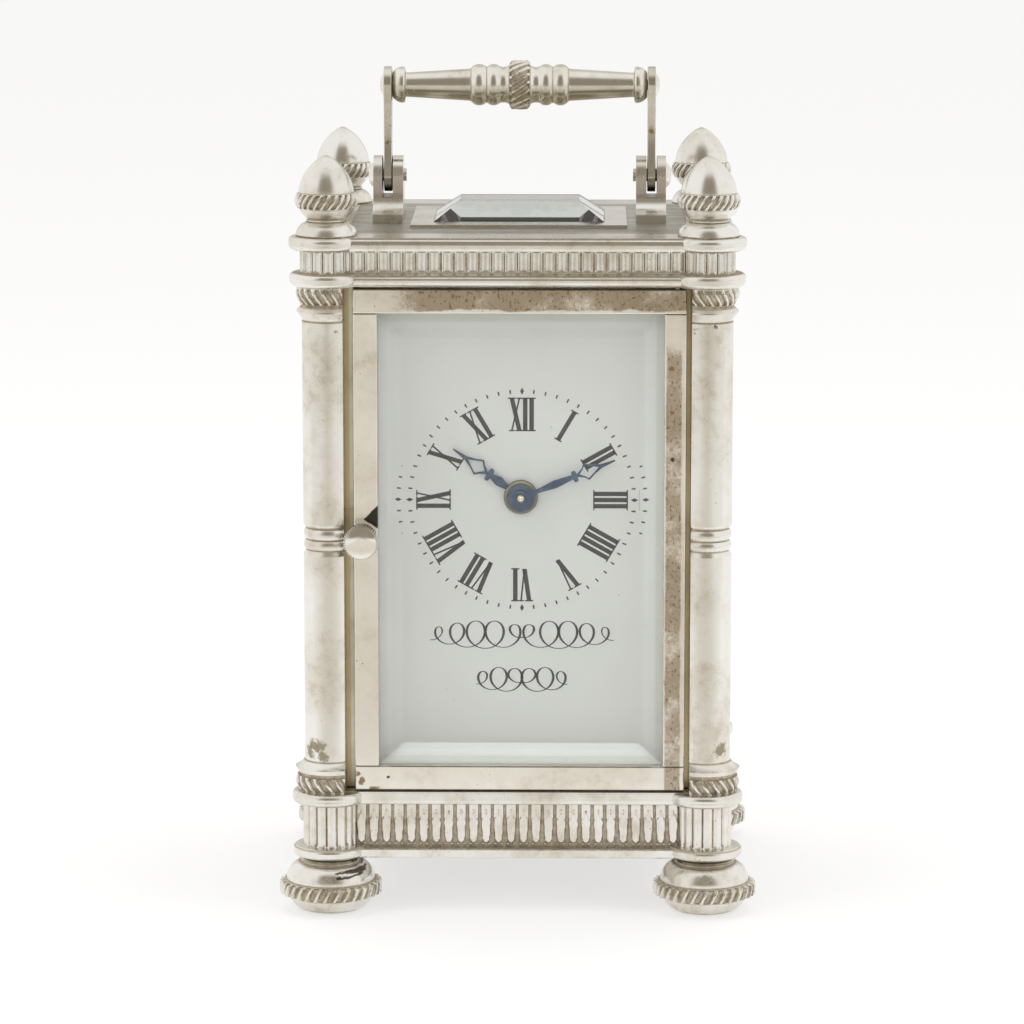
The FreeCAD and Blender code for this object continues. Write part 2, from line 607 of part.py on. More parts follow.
def intermediate_wheel():
    y0, y1 = -7.0, -6.2
    wheel = toothed(INTERMEDIATE_WHEEL, INTERMEDIATE, y0, y1, INTERMEDIATE_TOOTH)
    wheel = crossed(wheel, INTERMEDIATE, y0, y1, 2.6, 8.6)
    pinion = toothed(INTERMEDIATE_PINION, INTERMEDIATE, -5.0, -2.6, INTERMEDIATE_PINION_TOOTH)
    hub = rod_y(1.8, INTERMEDIATE, y0 - 0.5, -5.0)
    return fuse([wheel, pinion, hub] + arbor(INTERMEDIATE, 0.9, 0.5))


def centre_wheel():
    """Centre wheel: its arbor carries the hands in front and the hand-setting square behind."""
    y0, y1 = -9.8, -9.0
    wheel = crossed(toothed(CENTRE_WHEEL, CENTRE, y0, y1, CENTRE_TOOTH), CENTRE, y0, y1, 2.4, 9.0)
    pinion = toothed(CENTRE_PINION, CENTRE, -7.6, -5.6, CENTRE_PINION_TOOTH)
    hub = rod_y(1.3, CENTRE, y0, -7.6)
    x, z = CENTRE
    square = box(x - 0.9, x + 0.9, PLATE_OUTER, 19.5, z - 0.9, z + 0.9)
    return fuse([wheel, pinion, hub, square] + arbor(CENTRE, 1.0, 0.6, front=-22.9))


def third_wheel():
    y0, y1 = -4.0, -3.3
    wheel = crossed(toothed(THIRD_WHEEL, THIRD, y0, y1, THIRD_TOOTH), THIRD, y0, y1, 1.8, 6.6, width=1.0)
    pinion = toothed(THIRD_PINION, THIRD, -10.3, -8.5, THIRD_PINION_TOOTH)
    hub = rod_y(1.2, THIRD, y0 - 0.4, y1 + 0.4)
    return fuse([wheel, pinion, hub] + arbor(THIRD, 0.5, 0.3))


CROWN_ROOT_Y = ESCAPE_Y - pitch_radius(ESCAPE_PINION) - DEDENDUM * ESCAPE_PINION[1]
CROWN_TIP_Y = ESCAPE_Y - pitch_radius(ESCAPE_PINION) + ADDENDUM * ESCAPE_PINION[1]
CROWN_IN, CROWN_OUT = 7.3, 8.05


def contrate_wheel():
    """Contrate wheel: crown teeth that face back and turn the upright escape pinion."""
    back = CROWN_ROOT_Y
    rim = rod_y(CROWN_OUT, CONTRATE, 4.8, back).cut(rod_y(CROWN_IN, CONTRATE, 5.6, back + 1))
    rim = crossed(rim, CONTRATE, 4.8, 5.6, 1.8, 6.6, width=1.0)
    solids = [rim, rod_y(1.2, CONTRATE, 4.4, 6.2)]
    teeth, module = CONTRATE_TEETH
    wide, narrow = TOOTH_ROOT * math.pi * module, TOOTH_TIP * math.pi * module
    for tooth in range(teeth):
        steps = [(-wide, back - 0.05), (wide, back - 0.05), (narrow, CROWN_TIP_Y), (-narrow, CROWN_TIP_Y)]
        height = V(0, 0, CROWN_OUT - CROWN_IN - 0.12)
        solid = extruded(steps, lambda x, y: V(x, y, CROWN_IN + 0.06), height)
        solid.rotate(ORIGIN, Y_AXIS, 360 * tooth / teeth)
        solid.translate(V(CONTRATE[0], 0, CONTRATE[1]))
        solids.append(solid)
    solids.append(toothed(CONTRATE_PINION, CONTRATE, -4.6, -2.7, CONTRATE_PINION_TOOTH))
    return fuse(solids + arbor(CONTRATE, 0.6, 0.35))


# ================================================================ platform escapement
def upright(shape, y):
    """Turn a part made about the Y axis upright, at (centre x, y)."""
    shape.rotate(ORIGIN, X_AXIS, 90)
    shape.translate(V(CENTRE[0], y, 0))
    return shape


def escape_wheel():
    """Escape wheel, its arbor and the pinion that the contrate wheel drives."""
    wheel_z0, wheel_z1 = 99.0, 99.4
    x = CENTRE[0]
    points = []
    first = math.radians(270 + 36)
    for tooth in range(ESCAPE_TEETH):
        middle = first + 2 * math.pi * tooth / ESCAPE_TEETH
        steps = ((2.3, -0.20), (ESCAPE_R, -0.012), (ESCAPE_R, 0.012), (2.3, 0.03))
        for reach, offset in steps:
            turn = middle + offset
            points.append(V(x + reach * math.cos(turn), ESCAPE_Y + reach * math.sin(turn), wheel_z0))
    wheel = Part.Face(Part.makePolygon(points + points[:1])).extrude(V(0, 0, wheel_z1 - wheel_z0))
    ring = rod_z(1.9, x, ESCAPE_Y, 98, 100).cut(rod_z(0.8, x, ESCAPE_Y, 98, 100))
    bars = [box(x - 0.25, x + 0.25, ESCAPE_Y - 3, ESCAPE_Y + 3, 97, 101),
            box(x - 3, x + 3, ESCAPE_Y - 0.25, ESCAPE_Y + 0.25, 97, 101)]
    wheel = wheel.cut(ring.cut(bars))
    gap_at_crown = -math.pi / 2
    first_leaf = gap_at_crown + math.pi / ESCAPE_PINION[0]
    pinion = toothed(ESCAPE_PINION, (0, 0), -1.8, 0, -first_leaf)
    pinion = upright(pinion, ESCAPE_Y)
    pinion.translate(V(0, 0, 95.1 - pinion.BoundBox.ZMax))
    arbors = [rod_z(0.45, x, ESCAPE_Y, 95.0, 100.5), rod_z(0.2, x, ESCAPE_Y, 92.0, 101.2)]
    return fuse([wheel, pinion] + arbors)


def pallet_lever():
    """Lever with two pallet stones that clear the escape wheel's tips at rest, and a fork in front."""
    z0, z1 = 99.0, 99.4
    x = CENTRE[0]
    solids = [rod_z(0.75, x, LEVER_Y, z0, z1), rod_z(0.4, x, LEVER_Y, PLATFORM_TOP + 0.1, 100.5),
              rod_z(0.2, x, LEVER_Y, PLATFORM_TOP - 0.8, 101.2)]
    tail = LEVER_Y - 2.6
    fork = [(x - 0.3, LEVER_Y), (x + 0.3, LEVER_Y), (x + 0.55, tail), (x + 0.25, tail)]
    fork += [(x + 0.25, tail + 0.5), (x - 0.25, tail + 0.5), (x - 0.25, tail), (x - 0.55, tail)]
    solids.append(extruded(fork, lambda a, b: V(a, b, z0), V(0, 0, z1 - z0)))
    for side in (-1, 1):
        stone = box(-0.18, 0.18, -(ESCAPE_R + 1.0), -(ESCAPE_R + 0.06), z0 - 0.1, z1 + 0.1)
        arm = box(-0.45, 0.45, -(ESCAPE_R + 1.2), -(ESCAPE_R + 0.35), z0, z1)
        for part in (stone, arm):
            part.rotate(ORIGIN, Z_AXIS, side * 30)
            part.translate(V(x, ESCAPE_Y, 0))
        link = [(x, LEVER_Y - 0.4), (x, LEVER_Y + 0.5), (x + side * 1.7, LEVER_Y + 1.0),
                (x + side * 2.2, LEVER_Y + 0.3)]
        solids += [stone, arm, extruded(link, lambda a, b: V(a, b, z0), V(0, 0, z1 - z0))]
    return fuse(solids)


def balance_wheel():
    """Balance with two arms, its staff and the roller that carries the impulse pin."""
    z0, z1 = 101.9, 102.8
    x = CENTRE[0]
    rim = rod_z(6.2, x, BALANCE_Y, z0, z1).cut(rod_z(5.3, x, BALANCE_Y, z0 - 1, z1 + 1))
    arms = box(x - 5.6, x + 5.6, BALANCE_Y - 0.5, BALANCE_Y + 0.5, z0 + 0.2, z1 - 0.2)
    screws = []
    for index in range(12):
        angle = math.radians(15 + 30 * index)
        out = V(math.cos(angle), math.sin(angle), 0)
        screws.append(rod(0.32, V(x, BALANCE_Y, 102.35) + out * 6.0, V(x, BALANCE_Y, 102.35) + out * 6.75))
    staff = [rod_z(0.5, x, BALANCE_Y, 97.9, 104.4), rod_z(0.2, x, BALANCE_Y, 96.4, 105.6)]
    roller = [rod_z(1.3, x, BALANCE_Y, 99.7, 100.0), rod_z(0.15, x, BALANCE_Y + 1.0, 99.0, 99.8),
              rod_z(1.0, x, BALANCE_Y, 101.6, 103.1)]
    return fuse([rim, arms] + screws + staff + roller)


def hairspring():
    at = (CENTRE[0], BALANCE_Y)
    strip = spiral(at, 1.25, 3.9, 6, 0.10, lambda x, y: V(x, y, 103.5), V(0, 0, 0.35), steps_per_turn=16)
    stud = box(CENTRE[0] + 3.75, CENTRE[0] + 4.5, BALANCE_Y - 0.4, BALANCE_Y + 0.4, 103.3, 104.9)
    return fuse([strip, stud])


def balance_cock():
    """Cock that carries the balance's upper pivot and the hairspring stud."""
    x = CENTRE[0]
    steps = [(x - 10.8, -2.6), (x - 2, -1.7), (x + 5.2, -1.4), (x + 5.2, 1.0), (x - 2, 1.4),
             (x - 10.8, 2.2)]
    arm = extruded(steps, lambda a, b: V(a, b, 104.9), V(0, 0, 1.1))
    post = box(x - 10.8, x - 7.4, -2.6, 2.2, PLATFORM_TOP, 105)
    return fuse([arm, post]).cut(rod_z(0.25, x, BALANCE_Y, 104, 105.7))


def platform():
    """Platform plate with the potence under it and the bridge over the escape wheel and lever."""
    x = CENTRE[0]
    plate = box(x - 12, x + 12, -PLATE_OUTER, PLATE_OUTER, PLATES_TOP, PLATFORM_TOP)
    potence = [box(x - 1.5, x + 1.5, 7.3, 12.0, 91.7, 92.6),
               box(x - 1.5, x + 1.5, 10.5, 12.0, 91.7, PLATES_TOP)]
    body = fuse([plate] + potence)
    body = body.cut([rod_z(1.6, x, ESCAPE_Y, 94, 98), rod_z(0.25, x, ESCAPE_Y, 91, 93),
                     rod_z(0.25, x, LEVER_Y, 95, 98), rod_z(0.25, x, BALANCE_Y, 96.2, 98)])
    bridge = fuse([box(x - 1.6, x + 1.6, 2.9, 14.2, 100.6, 101.4),
                   box(x - 1.6, x + 1.6, 12.0, 14.2, PLATFORM_TOP, 101.4)])
    bridge = bridge.cut([rod_z(0.25, x, ESCAPE_Y, 100, 102), rod_z(0.25, x, LEVER_Y, 100, 102)])
    return [body, bridge]


# ================================================================ plates, motion work and dial
PIVOT_HOLES = ((BARREL, 1.8), (INTERMEDIATE, 0.5), (CENTRE, 0.6), (THIRD, 0.3), (CONTRATE, 0.35))


def pillar_places():
    return [(CENTRE[0] + side * PILLAR_DX, z) for side in (-1, 1) for z in PILLAR_ZS]


def movement_plate(y0, y1):
    """Brass plate with pivot holes; it stands on the base."""
    left, right = CENTRE[0] - PLATES_HALF_WIDTH, CENTRE[0] + PLATES_HALF_WIDTH
    steps = [(left, BASE_TOP), (right, BASE_TOP), (right, PLATES_TOP - 3), (right - 3, PLATES_TOP),
             (left + 3, PLATES_TOP), (left, PLATES_TOP - 3)]
    holes = [rod_y(radius + SLIP, at, y0 - 1, y1 + 1) for at, radius in PIVOT_HOLES]
    holes += [rod_y(PILLAR_SCREW_R + SLIP, at, y0 - 1, y1 + 1) for at in pillar_places()]
    return plate_xz(steps, y0, y1).cut(holes)


def front_plate():
    plate = movement_plate(-PLATE_OUTER, -PLATE_INNER)
    return fuse([plate, rod_y(0.6, MINUTE, -18.2, -PLATE_INNER)])


def back_plate():
    plate = movement_plate(PLATE_INNER, PLATE_OUTER)
    return fuse([plate, rod_y(0.7, CLICK_PIVOT, PLATE_INNER, PLATE_OUTER + 1.8)])


def pillars():
    solids = []
    for at in pillar_places():
        pillar = rod_y(PILLAR_R, at, -PLATE_INNER, PLATE_INNER)
        cuts = [rod_y(PILLAR_SCREW_R + SLIP, at, side * 9.5, side * (PLATE_INNER + 1)) for side in (-1, 1)]
        if at[1] == PILLAR_ZS[0]:
            cuts += [rod_z(CASE_SCREW_R + SLIP, at[0], y, 20, at[1] + 1) for y in CASE_SCREW_YS]
        else:
            waist = [(1.5, -9), (PILLAR_R + 1, -9), (PILLAR_R + 1, 9), (1.5, 9)]
            cuts.append(turned(waist, V(at[0], 0, at[1]), Y_AXIS))
        solids.append(pillar.cut(cuts))
    return solids


def case_and_plate_screws():
    """Pillar screws, screws up through the base, and screws up through the top plate into the clevises."""
    def screw(centre, direction, length, shank, head=1.9):
        profile = [(0, -1.0), (head, -1.0), (head, 0), (shank, 0), (shank, length), (0, length)]
        return turned(profile, centre, direction)

    solids = []
    for x, z in pillar_places():
        solids.append(screw(V(x, -PLATE_OUTER, z), Y_AXIS, 5.0, PILLAR_SCREW_R))
        solids.append(screw(V(x, PLATE_OUTER, z), Y_AXIS * -1, 5.0, PILLAR_SCREW_R))
        if z == PILLAR_ZS[0]:
            solids += [screw(V(x, y, RECESS_TOP), Z_AXIS, 9.5, CASE_SCREW_R) for y in CASE_SCREW_YS]
    under_plate = CORNICE_TOP - PLATE_THICK
    solids += [screw(V(side * CLEVIS_X, y, under_plate), Z_AXIS, 3.1, CLEVIS_SCREW_R, head=1.7)
               for side in (-1, 1) for y in CLEVIS_SCREW_YS]
    return solids


def cannon_pinion():
    """Cannon pinion: a friction fit on the centre arbor in the clock, turning the minute hand."""
    pinion = toothed(CANNON, CENTRE, -16.4, -15.3, CANNON_TOOTH)
    return fuse([pinion, rod_y(1.05, CENTRE, -22.5, -15.3)]).cut(rod_y(0.6 + SLIP, CENTRE, -25, -13))


def minute_wheel():
    y0, y1 = -16.2, -15.5
    wheel = toothed(MINUTE_WHEEL, MINUTE, y0, y1, MINUTE_TOOTH)
    wheel = crossed(wheel, MINUTE, y0, y1, 1.9, 3.5, spokes=4, width=0.9)
    pinion = toothed(MINUTE_PINION, MINUTE, -17.7, y0, MINUTE_PINION_TOOTH)
    return fuse([wheel, pinion]).cut(rod_y(0.6 + SLIP, MINUTE, -20, -13))


def hour_wheel():
    """Hour wheel with the pipe that carries the hour hand."""
    wheel = toothed(HOUR_WHEEL, CENTRE, -17.5, -16.7, HOUR_TOOTH)
    return fuse([wheel, rod_y(1.6, CENTRE, -21.3, -16.7)]).cut(rod_y(1.05 + SLIP, CENTRE, -25, -13))


def dial():
    """Enamelled dial plate with feet that stand on the front plate."""
    plate = box(-27.9, 29.1, DIAL_FRONT, DIAL_BACK, 23.0, 111.6)
    feet = [rod_y(0.8, (CENTRE[0] + side * 18, z), DIAL_BACK - 0.5, -PLATE_OUTER)
            for side in (-1, 1) for z in (38.0, 84.0)]
    return fuse([plate] + feet).cut(rod_y(2.0, CENTRE, -25, -16))


def hand(half_outline, opening, boss_r, bore_r, y0, y1, angle):
    """Hand made pointing at twelve, from half widths (width, distance from the arbor), then turned."""
    x, z = CENTRE
    right = [(x + width, z + reach) for width, reach in half_outline]
    left = [(x - width, z + reach) for width, reach in half_outline[::-1]]
    blade = plate_xz(right + left, y0, y1)
    hole_right = [(x + width, z + reach) for width, reach in opening]
    hole_left = [(x - width, z + reach) for width, reach in opening[-2:0:-1]]
    blade = blade.cut(plate_xz(hole_right + hole_left, y0 - 1, y1 + 1))
    solid = fuse([blade, rod_y(boss_r, CENTRE, y0, y1)]).cut(rod_y(bore_r, CENTRE, y0 - 1, y1 + 1))
    solid.rotate(V(x, 0, z), Y_AXIS, angle)
    return solid


def minute_hand():
    edge = [(0.45, 1.0), (0.36, 2.8), (0.42, 4.0), (0.72, 6.6), (0.4, 9.9), (1.0, 10.1), (1.0, 10.7)]
    edge += [(0.24, 10.9), (0.85, 12.0), (1.55, 12.6), (0.85, 14.0), (0.34, 15.5), (0.12, 18.1)]
    opening = [(0.0, 11.3), (0.62, 12.1), (1.22, 12.65), (0.6, 13.9), (0.0, 15.0)]
    return hand(edge, opening, 2.5, 1.07, -22.3, -21.9, MINUTE_HAND_ANGLE)


def hour_hand():
    edge = [(0.5, 1.5), (0.45, 2.9), (0.85, 4.8), (0.45, 6.4), (1.15, 6.6), (1.15, 7.2)]
    edge += [(0.26, 7.4), (0.85, 8.4), (1.6, 9.2), (0.85, 10.6), (0.34, 12.1), (0.12, 14.8)]
    opening = [(0.0, 7.9), (0.62, 8.6), (1.26, 9.25), (0.6, 10.5), (0.0, 11.6)]
    return hand(edge, opening, 3.05, 1.62, -21.2, -20.8, HOUR_HAND_ANGLE)


# ================================================================ assembly
def build():
    os.makedirs("parts", exist_ok=True)
    save("base", base())
    save("cornice", cornice())
    save("top_plate", top_plate())
    save("top_glass_bezel", top_glass_bezel())
    save("top_glass", top_glass())

    plain = front_left_column(mortise=False)
    latched = front_left_column(mortise=True)
    save("column_front_left", latched)
    save("column_front_right", mirrored(plain, X_AXIS))
    save("column_rear_left", mirrored(plain, Y_AXIS))
    save("column_rear_right", half_turn(latched))
    for row, sy in (("front", -1), ("rear", 1)):
        for column, sx in (("left", -1), ("right", 1)):
            corner = row + "_" + column
            save("foot_" + corner, foot(sx * COLUMN_X, sy * COLUMN_Y))
            save("finial_" + corner, finial(sx * COLUMN_X, sy * COLUMN_Y))
    save("side_glass_left", side_glass())
    save("side_glass_right", half_turn(side_glass()))

    door_parts = {"door_frame": door_frame(), "door_glass": door_glass(), "door_knob": door_knob(),
                  "latch": latch()}
    for name, shape in door_parts.items():
        save("front_" + name, shape)
        save("rear_" + name, half_turn(shape))
    save("door_hinge_pins", hinge_pins())

    for name, side in (("left", -1), ("right", 1)):
        save("handle_clevis_" + name, clevis(side))
        save("handle_arm_" + name, handle_arm(side))
    save("handle_pins", [handle_pin(-1), handle_pin(1)])
    save("handle_screws", [handle_screw(-1), handle_screw(1)])
    save("handle_grip", grip())

    movement = {"front_plate": front_plate, "back_plate": back_plate, "plate_pillars": pillars,
                "case_and_plate_screws": case_and_plate_screws, "mainspring_barrel": barrel,
                "mainspring": mainspring, "barrel_arbor": barrel_arbor, "ratchet_wheel": ratchet_wheel,
                "click": click,
                "intermediate_wheel": intermediate_wheel, "centre_wheel": centre_wheel,
                "third_wheel": third_wheel, "contrate_wheel": contrate_wheel, "platform": platform,
                "escape_wheel": escape_wheel, "pallet_lever": pallet_lever, "balance_wheel": balance_wheel,
                "hairspring": hairspring, "balance_cock": balance_cock, "cannon_pinion": cannon_pinion,
                "minute_wheel": minute_wheel, "hour_wheel": hour_wheel, "dial": dial,
                "hour_hand": hour_hand, "minute_hand": minute_hand}
    for name, make in movement.items():
        save(name, make())


build()
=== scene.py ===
import math

import bmesh
import bpy
import numpy as np
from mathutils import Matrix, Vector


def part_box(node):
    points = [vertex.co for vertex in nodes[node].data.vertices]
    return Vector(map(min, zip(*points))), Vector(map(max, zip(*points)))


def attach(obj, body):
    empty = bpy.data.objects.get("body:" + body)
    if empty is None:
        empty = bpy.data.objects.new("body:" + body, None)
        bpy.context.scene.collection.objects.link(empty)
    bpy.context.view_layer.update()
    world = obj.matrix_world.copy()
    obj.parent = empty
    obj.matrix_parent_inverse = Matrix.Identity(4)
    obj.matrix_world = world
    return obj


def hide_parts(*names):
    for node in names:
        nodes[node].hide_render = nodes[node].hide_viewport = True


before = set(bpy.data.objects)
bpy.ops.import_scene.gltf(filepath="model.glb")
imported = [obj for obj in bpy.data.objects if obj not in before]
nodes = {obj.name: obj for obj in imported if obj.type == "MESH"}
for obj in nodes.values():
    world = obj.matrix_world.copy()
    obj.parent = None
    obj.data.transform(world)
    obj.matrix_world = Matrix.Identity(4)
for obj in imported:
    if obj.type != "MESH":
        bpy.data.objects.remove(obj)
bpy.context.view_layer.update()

MM = 0.001


def span(node):
    """Lowest and highest corner of a CAD node, in millimetres."""
    low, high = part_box(node)
    return np.array(low) / MM, np.array(high) / MM


# ======== places taken from the frame, in millimetres
foot_low, foot_high = span("foot_front_right")
COLUMN_X, COLUMN_Y = (foot_low + foot_high)[:2] / 2 * (1, -1)
FOOT_R = (foot_high[0] - foot_low[0]) / 2 - 0.02
FOOT_TOP, BASE_TOP = [corner[2] for corner in span("base")]
COLUMN_TOP, CORNICE_TOP = [corner[2] for corner in span("cornice")]
door_low, door_high = span("front_door_frame")
pane_low, pane_high = span("front_door_glass")
knob_low, knob_high = span("front_door_knob")
KNOB_X, _, KNOB_Z = (knob_low + knob_high) / 2
KNOB_R = (knob_high[0] - knob_low[0]) / 2
grip_low, grip_high = span("handle_grip")
GRIP_Z = (grip_low[2] + grip_high[2]) / 2
GRIP_R = (grip_high[2] - grip_low[2]) / 2
GRIP_END = grip_high[0]
plate_low, plate_high = span("top_plate")
DIAL_FACE = span("dial")[0][1]
cannon_low, cannon_high = span("cannon_pinion")
DIAL_X, _, DIAL_Z = (cannon_low + cannon_high) / 2
CORNERS = [("front_left", -1, -1), ("front_right", 1, -1), ("rear_left", -1, 1), ("rear_right", 1, 1)]


# ======== node helpers
class Shader:
    """Node tree of a material or world, with short calls for the nodes used here."""

    def __init__(self, owner):
        self.owner = owner
        owner.use_nodes = True
        self.tree = owner.node_tree
        self.tree.nodes.clear()
        self.coords = self.node("TexCoord").outputs["Object"]

    def node(self, kind, inputs=None, **settings):
        made = self.tree.nodes.new("ShaderNode" + kind)
        for key, value in settings.items():
            setattr(made, key, value)
        for key, value in (inputs or {}).items():
            socket = made.inputs[key]
            if isinstance(value, bpy.types.NodeSocket):
                self.tree.links.new(value, socket)
            elif socket.type == "RGBA":
                socket.default_value = (*value, 1.0)
            else:
                socket.default_value = value
        return made

    def noise(self, scale, detail=4.0, rough=0.55, stretch=(1, 1, 1), shift=(0, 0, 0)):
        """Noise over the object; scale is in features per metre."""
        place = self.node("Mapping", {"Vector": self.coords, "Scale": stretch, "Location": shift})
        made = self.node("TexNoise", {"Vector": place.outputs[0], "Scale": scale, "Detail": detail,
                "Roughness": rough})
        return made.outputs["Fac"]

    def ramp(self, value, start, end):
        """0 at start, 1 at end, smooth between them."""
        made = self.node("MapRange", {"Value": value, "From Min": start, "From Max": end},
                interpolation_type="SMOOTHSTEP")
        return made.outputs["Result"]

    def maths(self, operation, a, b=0.0, clamp=False):
        return self.node("Math", {0: a, 1: b}, operation=operation, use_clamp=clamp).outputs[0]

    def chain(self, operation, first, *others):
        for value in others:
            first = self.maths(operation, first, value)
        return first

    def plus(self, *values):
        return self.chain("ADD", *values)

    def minus(self, *values):
        return self.chain("SUBTRACT", *values)

    def times(self, *values):
        return self.chain("MULTIPLY", *values)

    def strongest(self, *values):
        return self.chain("MAXIMUM", *values)

    def size(self, value):
        return self.maths("ABSOLUTE", value)

    def sway(self, noise, amount):
        """Noise moved to swing about zero, in millimetres."""
        return self.times(self.minus(noise, 0.5), amount * MM)

    def ramp_mm(self, value, start, end):
        return self.ramp(value, start * MM, end * MM)

    def unseen(self):
        """0 for what the camera sees directly, 1 for what only reflections and the light see."""
        return self.minus(1.0, self.node("LightPath").outputs["Is Camera Ray"])

    def blend(self, factor, a, b):
        made = self.node("Mix", {"Factor": factor, "A": a, "B": b}, data_type="RGBA")
        return made.outputs["Result"]

    def over(self, colour, mask, share, tone):
        """A tone laid over a colour where a mask is 1, as thick as share."""
        return self.blend(self.times(mask, share), colour, tone)

    def axis(self, letter):
        return self.node("SeparateXYZ", {0: self.coords}).outputs[letter]

    def stain(self, centre, radius, edge=0.5, long=1.0):
        """1 inside a ragged spot about a point in millimetres, 0 outside it; long stretches it along X."""
        wobble = self.noise(950, 6, 0.7)
        scaled = self.node("Mapping", {"Vector": self.coords, "Scale": (1 / long, 1, 1)}).outputs[0]
        middle = (centre[0] * MM / long, centre[1] * MM, centre[2] * MM)
        away = self.node("VectorMath", {0: scaled, 1: middle}, operation="DISTANCE").outputs["Value"]
        pushed = self.plus(away, self.sway(wobble, radius * 2.8))
        return self.ramp(pushed, radius * MM, radius * MM * edge)

    def bump(self, height, distance, strength=1.0):
        made = self.node("Bump", {"Height": height, "Distance": distance * MM, "Strength": strength})
        return made.outputs["Normal"]

    def finish(self, surface, output="OutputMaterial"):
        self.node(output, {"Surface": surface.outputs[0]})
        return self.owner

    def principled(self, inputs):
        return self.finish(self.node("BsdfPrincipled", inputs))


# ======== materials
def silver_material(name, light, warm, polish, specks=0.5, stains=(), brushed=0.0, worn=0.35, zones=None,
        tint=None):
    """Worn silver plate: cloudy patches, brown-gold tarnish in the recesses with painted shade in the crevices
    that ambient occlusion finds, specks, stains and hairlines.

    stains are (centre, radius, colour, stretch along X); zones(shader) gives a mask of heavy tarnish;
    tint(shader, colour) gives the colour a last change."""
    s = Shader(bpy.data.materials.new(name))
    clouds = s.ramp(s.noise(75, 5, 0.6), 0.38, 0.68)
    mottle = s.ramp(s.noise(430, 6, 0.68, shift=(3, 1, 7)), 0.45, 0.66)
    colour = s.blend(s.times(clouds, 0.75), light, warm)
    colour = s.blend(s.times(mottle, clouds, worn), colour, (0.52, 0.46, 0.36))
    cavity = s.node("Attribute", attribute_name="recess").outputs["Fac"]
    # painted shade: ambient occlusion darkens the crevices towards the tarnish colour
    occlusion_shade = s.node("AmbientOcclusion", {"Distance": 1.0 * MM}, samples=6).outputs["AO"]
    ragged = s.noise(900, 5, 0.7, shift=(9, 4, 2))
    deep = s.plus(cavity, s.times(s.minus(ragged, 0.5), 0.7))
    # real tarnish from the recess depth, together with painted shade from ambient occlusion
    tarnish = s.strongest(s.ramp(deep, 0.35, 0.8), s.ramp(s.plus(occlusion_shade, s.times(ragged, 0.35)), 0.84, 0.46))
    dots = s.node("TexVoronoi", {"Vector": s.coords, "Scale": 1000.0}).outputs["Distance"]
    where = s.noise(190, 3, 0.6, shift=(1, 8, 5))
    speck = s.times(s.ramp(dots, 0.20, 0.08), s.ramp(where, 0.56, 0.66))
    marks = s.strongest(s.times(tarnish, 0.80), s.times(speck, specks))
    brown = s.blend(s.ramp(ragged, 0.3, 0.7), (0.24, 0.18, 0.10), (0.58, 0.50, 0.37))
    if zones:
        zone = zones(s)
        fine = s.noise(1500, 6, 0.75, shift=(4, 4, 1))
        film = s.times(s.ramp(s.plus(fine, s.times(zone, 0.35)), 0.54, 0.76), zone)
        colour = s.over(colour, zone, 0.42, (0.58, 0.49, 0.38))
        colour = s.over(colour, film, 0.68, (0.27, 0.19, 0.10))
        pits = s.times(s.ramp(s.noise(1900, 5, 0.65, stretch=(1, 1, 0.7), shift=(2, 6, 6)), 0.56, 0.61), zone)
    colour = s.blend(marks, colour, brown)
    if zones:
        colour = s.over(colour, pits, 0.85, (0.15, 0.10, 0.05))
        marks = s.strongest(marks, s.times(pits, 0.75))
    for centre, radius, tone, *long in stains:
        spot = s.stain(centre, radius, 0.5, *long)
        colour = s.over(colour, spot, 0.9, tone)
        marks = s.strongest(marks, s.times(spot, 0.8))
    if brushed:
        streak = s.ramp(s.noise(1300, 4, 0.65, stretch=(0.03, 1, 1), shift=(6, 2, 9)), 0.42, 0.64)
        colour = s.over(colour, streak, 0.5, (0.23, 0.21, 0.16))
        broad = s.noise(420, 5, 0.7, stretch=(0.10, 1, 1), shift=(5, 3, 2))
        colour = s.over(colour, s.ramp(broad, 0.50, 0.60), 0.55, (0.25, 0.23, 0.18))
        colour = s.over(colour, s.ramp(broad, 0.44, 0.36), 0.55, (0.78, 0.76, 0.71))
    if tint:
        colour = tint(s, colour)
    hair = s.noise(5200, 2, 0.5, stretch=(0.02, 1, 1) if brushed else (1, 1, 0.02))
    rough = s.plus(polish, s.times(clouds, 0.10))
    rough = s.plus(rough, s.times(marks, 0.34))
    rough = s.maths("ADD", rough, s.times(s.minus(hair, 0.5), 0.10 + brushed), clamp=True)
    relief = s.plus(s.times(s.noise(160, 3, 0.5), 0.7), s.times(ragged, 0.06))
    relief = s.minus(relief, s.times(marks, 0.05))
    normal = s.bump(relief, 0.04, 0.7)
    metal = s.minus(1.0, s.times(marks, 0.45))
    return s.principled({"Base Color": colour, "Roughness": rough, "Metallic": metal, "Normal": normal})


def door_zones(s):
    """Tarnish along the upper rail and down the hinge stile of the front door."""
    x, z = s.axis("X"), s.axis("Z")
    wave = s.sway(s.noise(240, 3, 0.5), 1.6)
    height = s.plus(z, wave)
    patch = s.ramp(s.noise(130, 4, 0.6, shift=(7, 0, 3)), 0.30, 0.52)
    rail = s.times(s.ramp_mm(height, 108.2, 108.7), s.ramp_mm(x, -24, -16))
    rail = s.times(rail, s.plus(0.45, s.times(patch, 0.55)))
    side = s.plus(x, s.times(wave, 0.3))
    stile = s.times(s.ramp_mm(side, 26.0, 26.4), s.ramp_mm(side, 29.2, 28.7))
    stile = s.times(stile, s.ramp_mm(height, 103.5, 99.5))
    stile = s.times(stile, s.plus(0.25, s.times(patch, 0.60)))
    front = s.ramp(s.axis("Y"), 0.0, -5 * MM)
    return s.times(s.strongest(rail, stile), front)


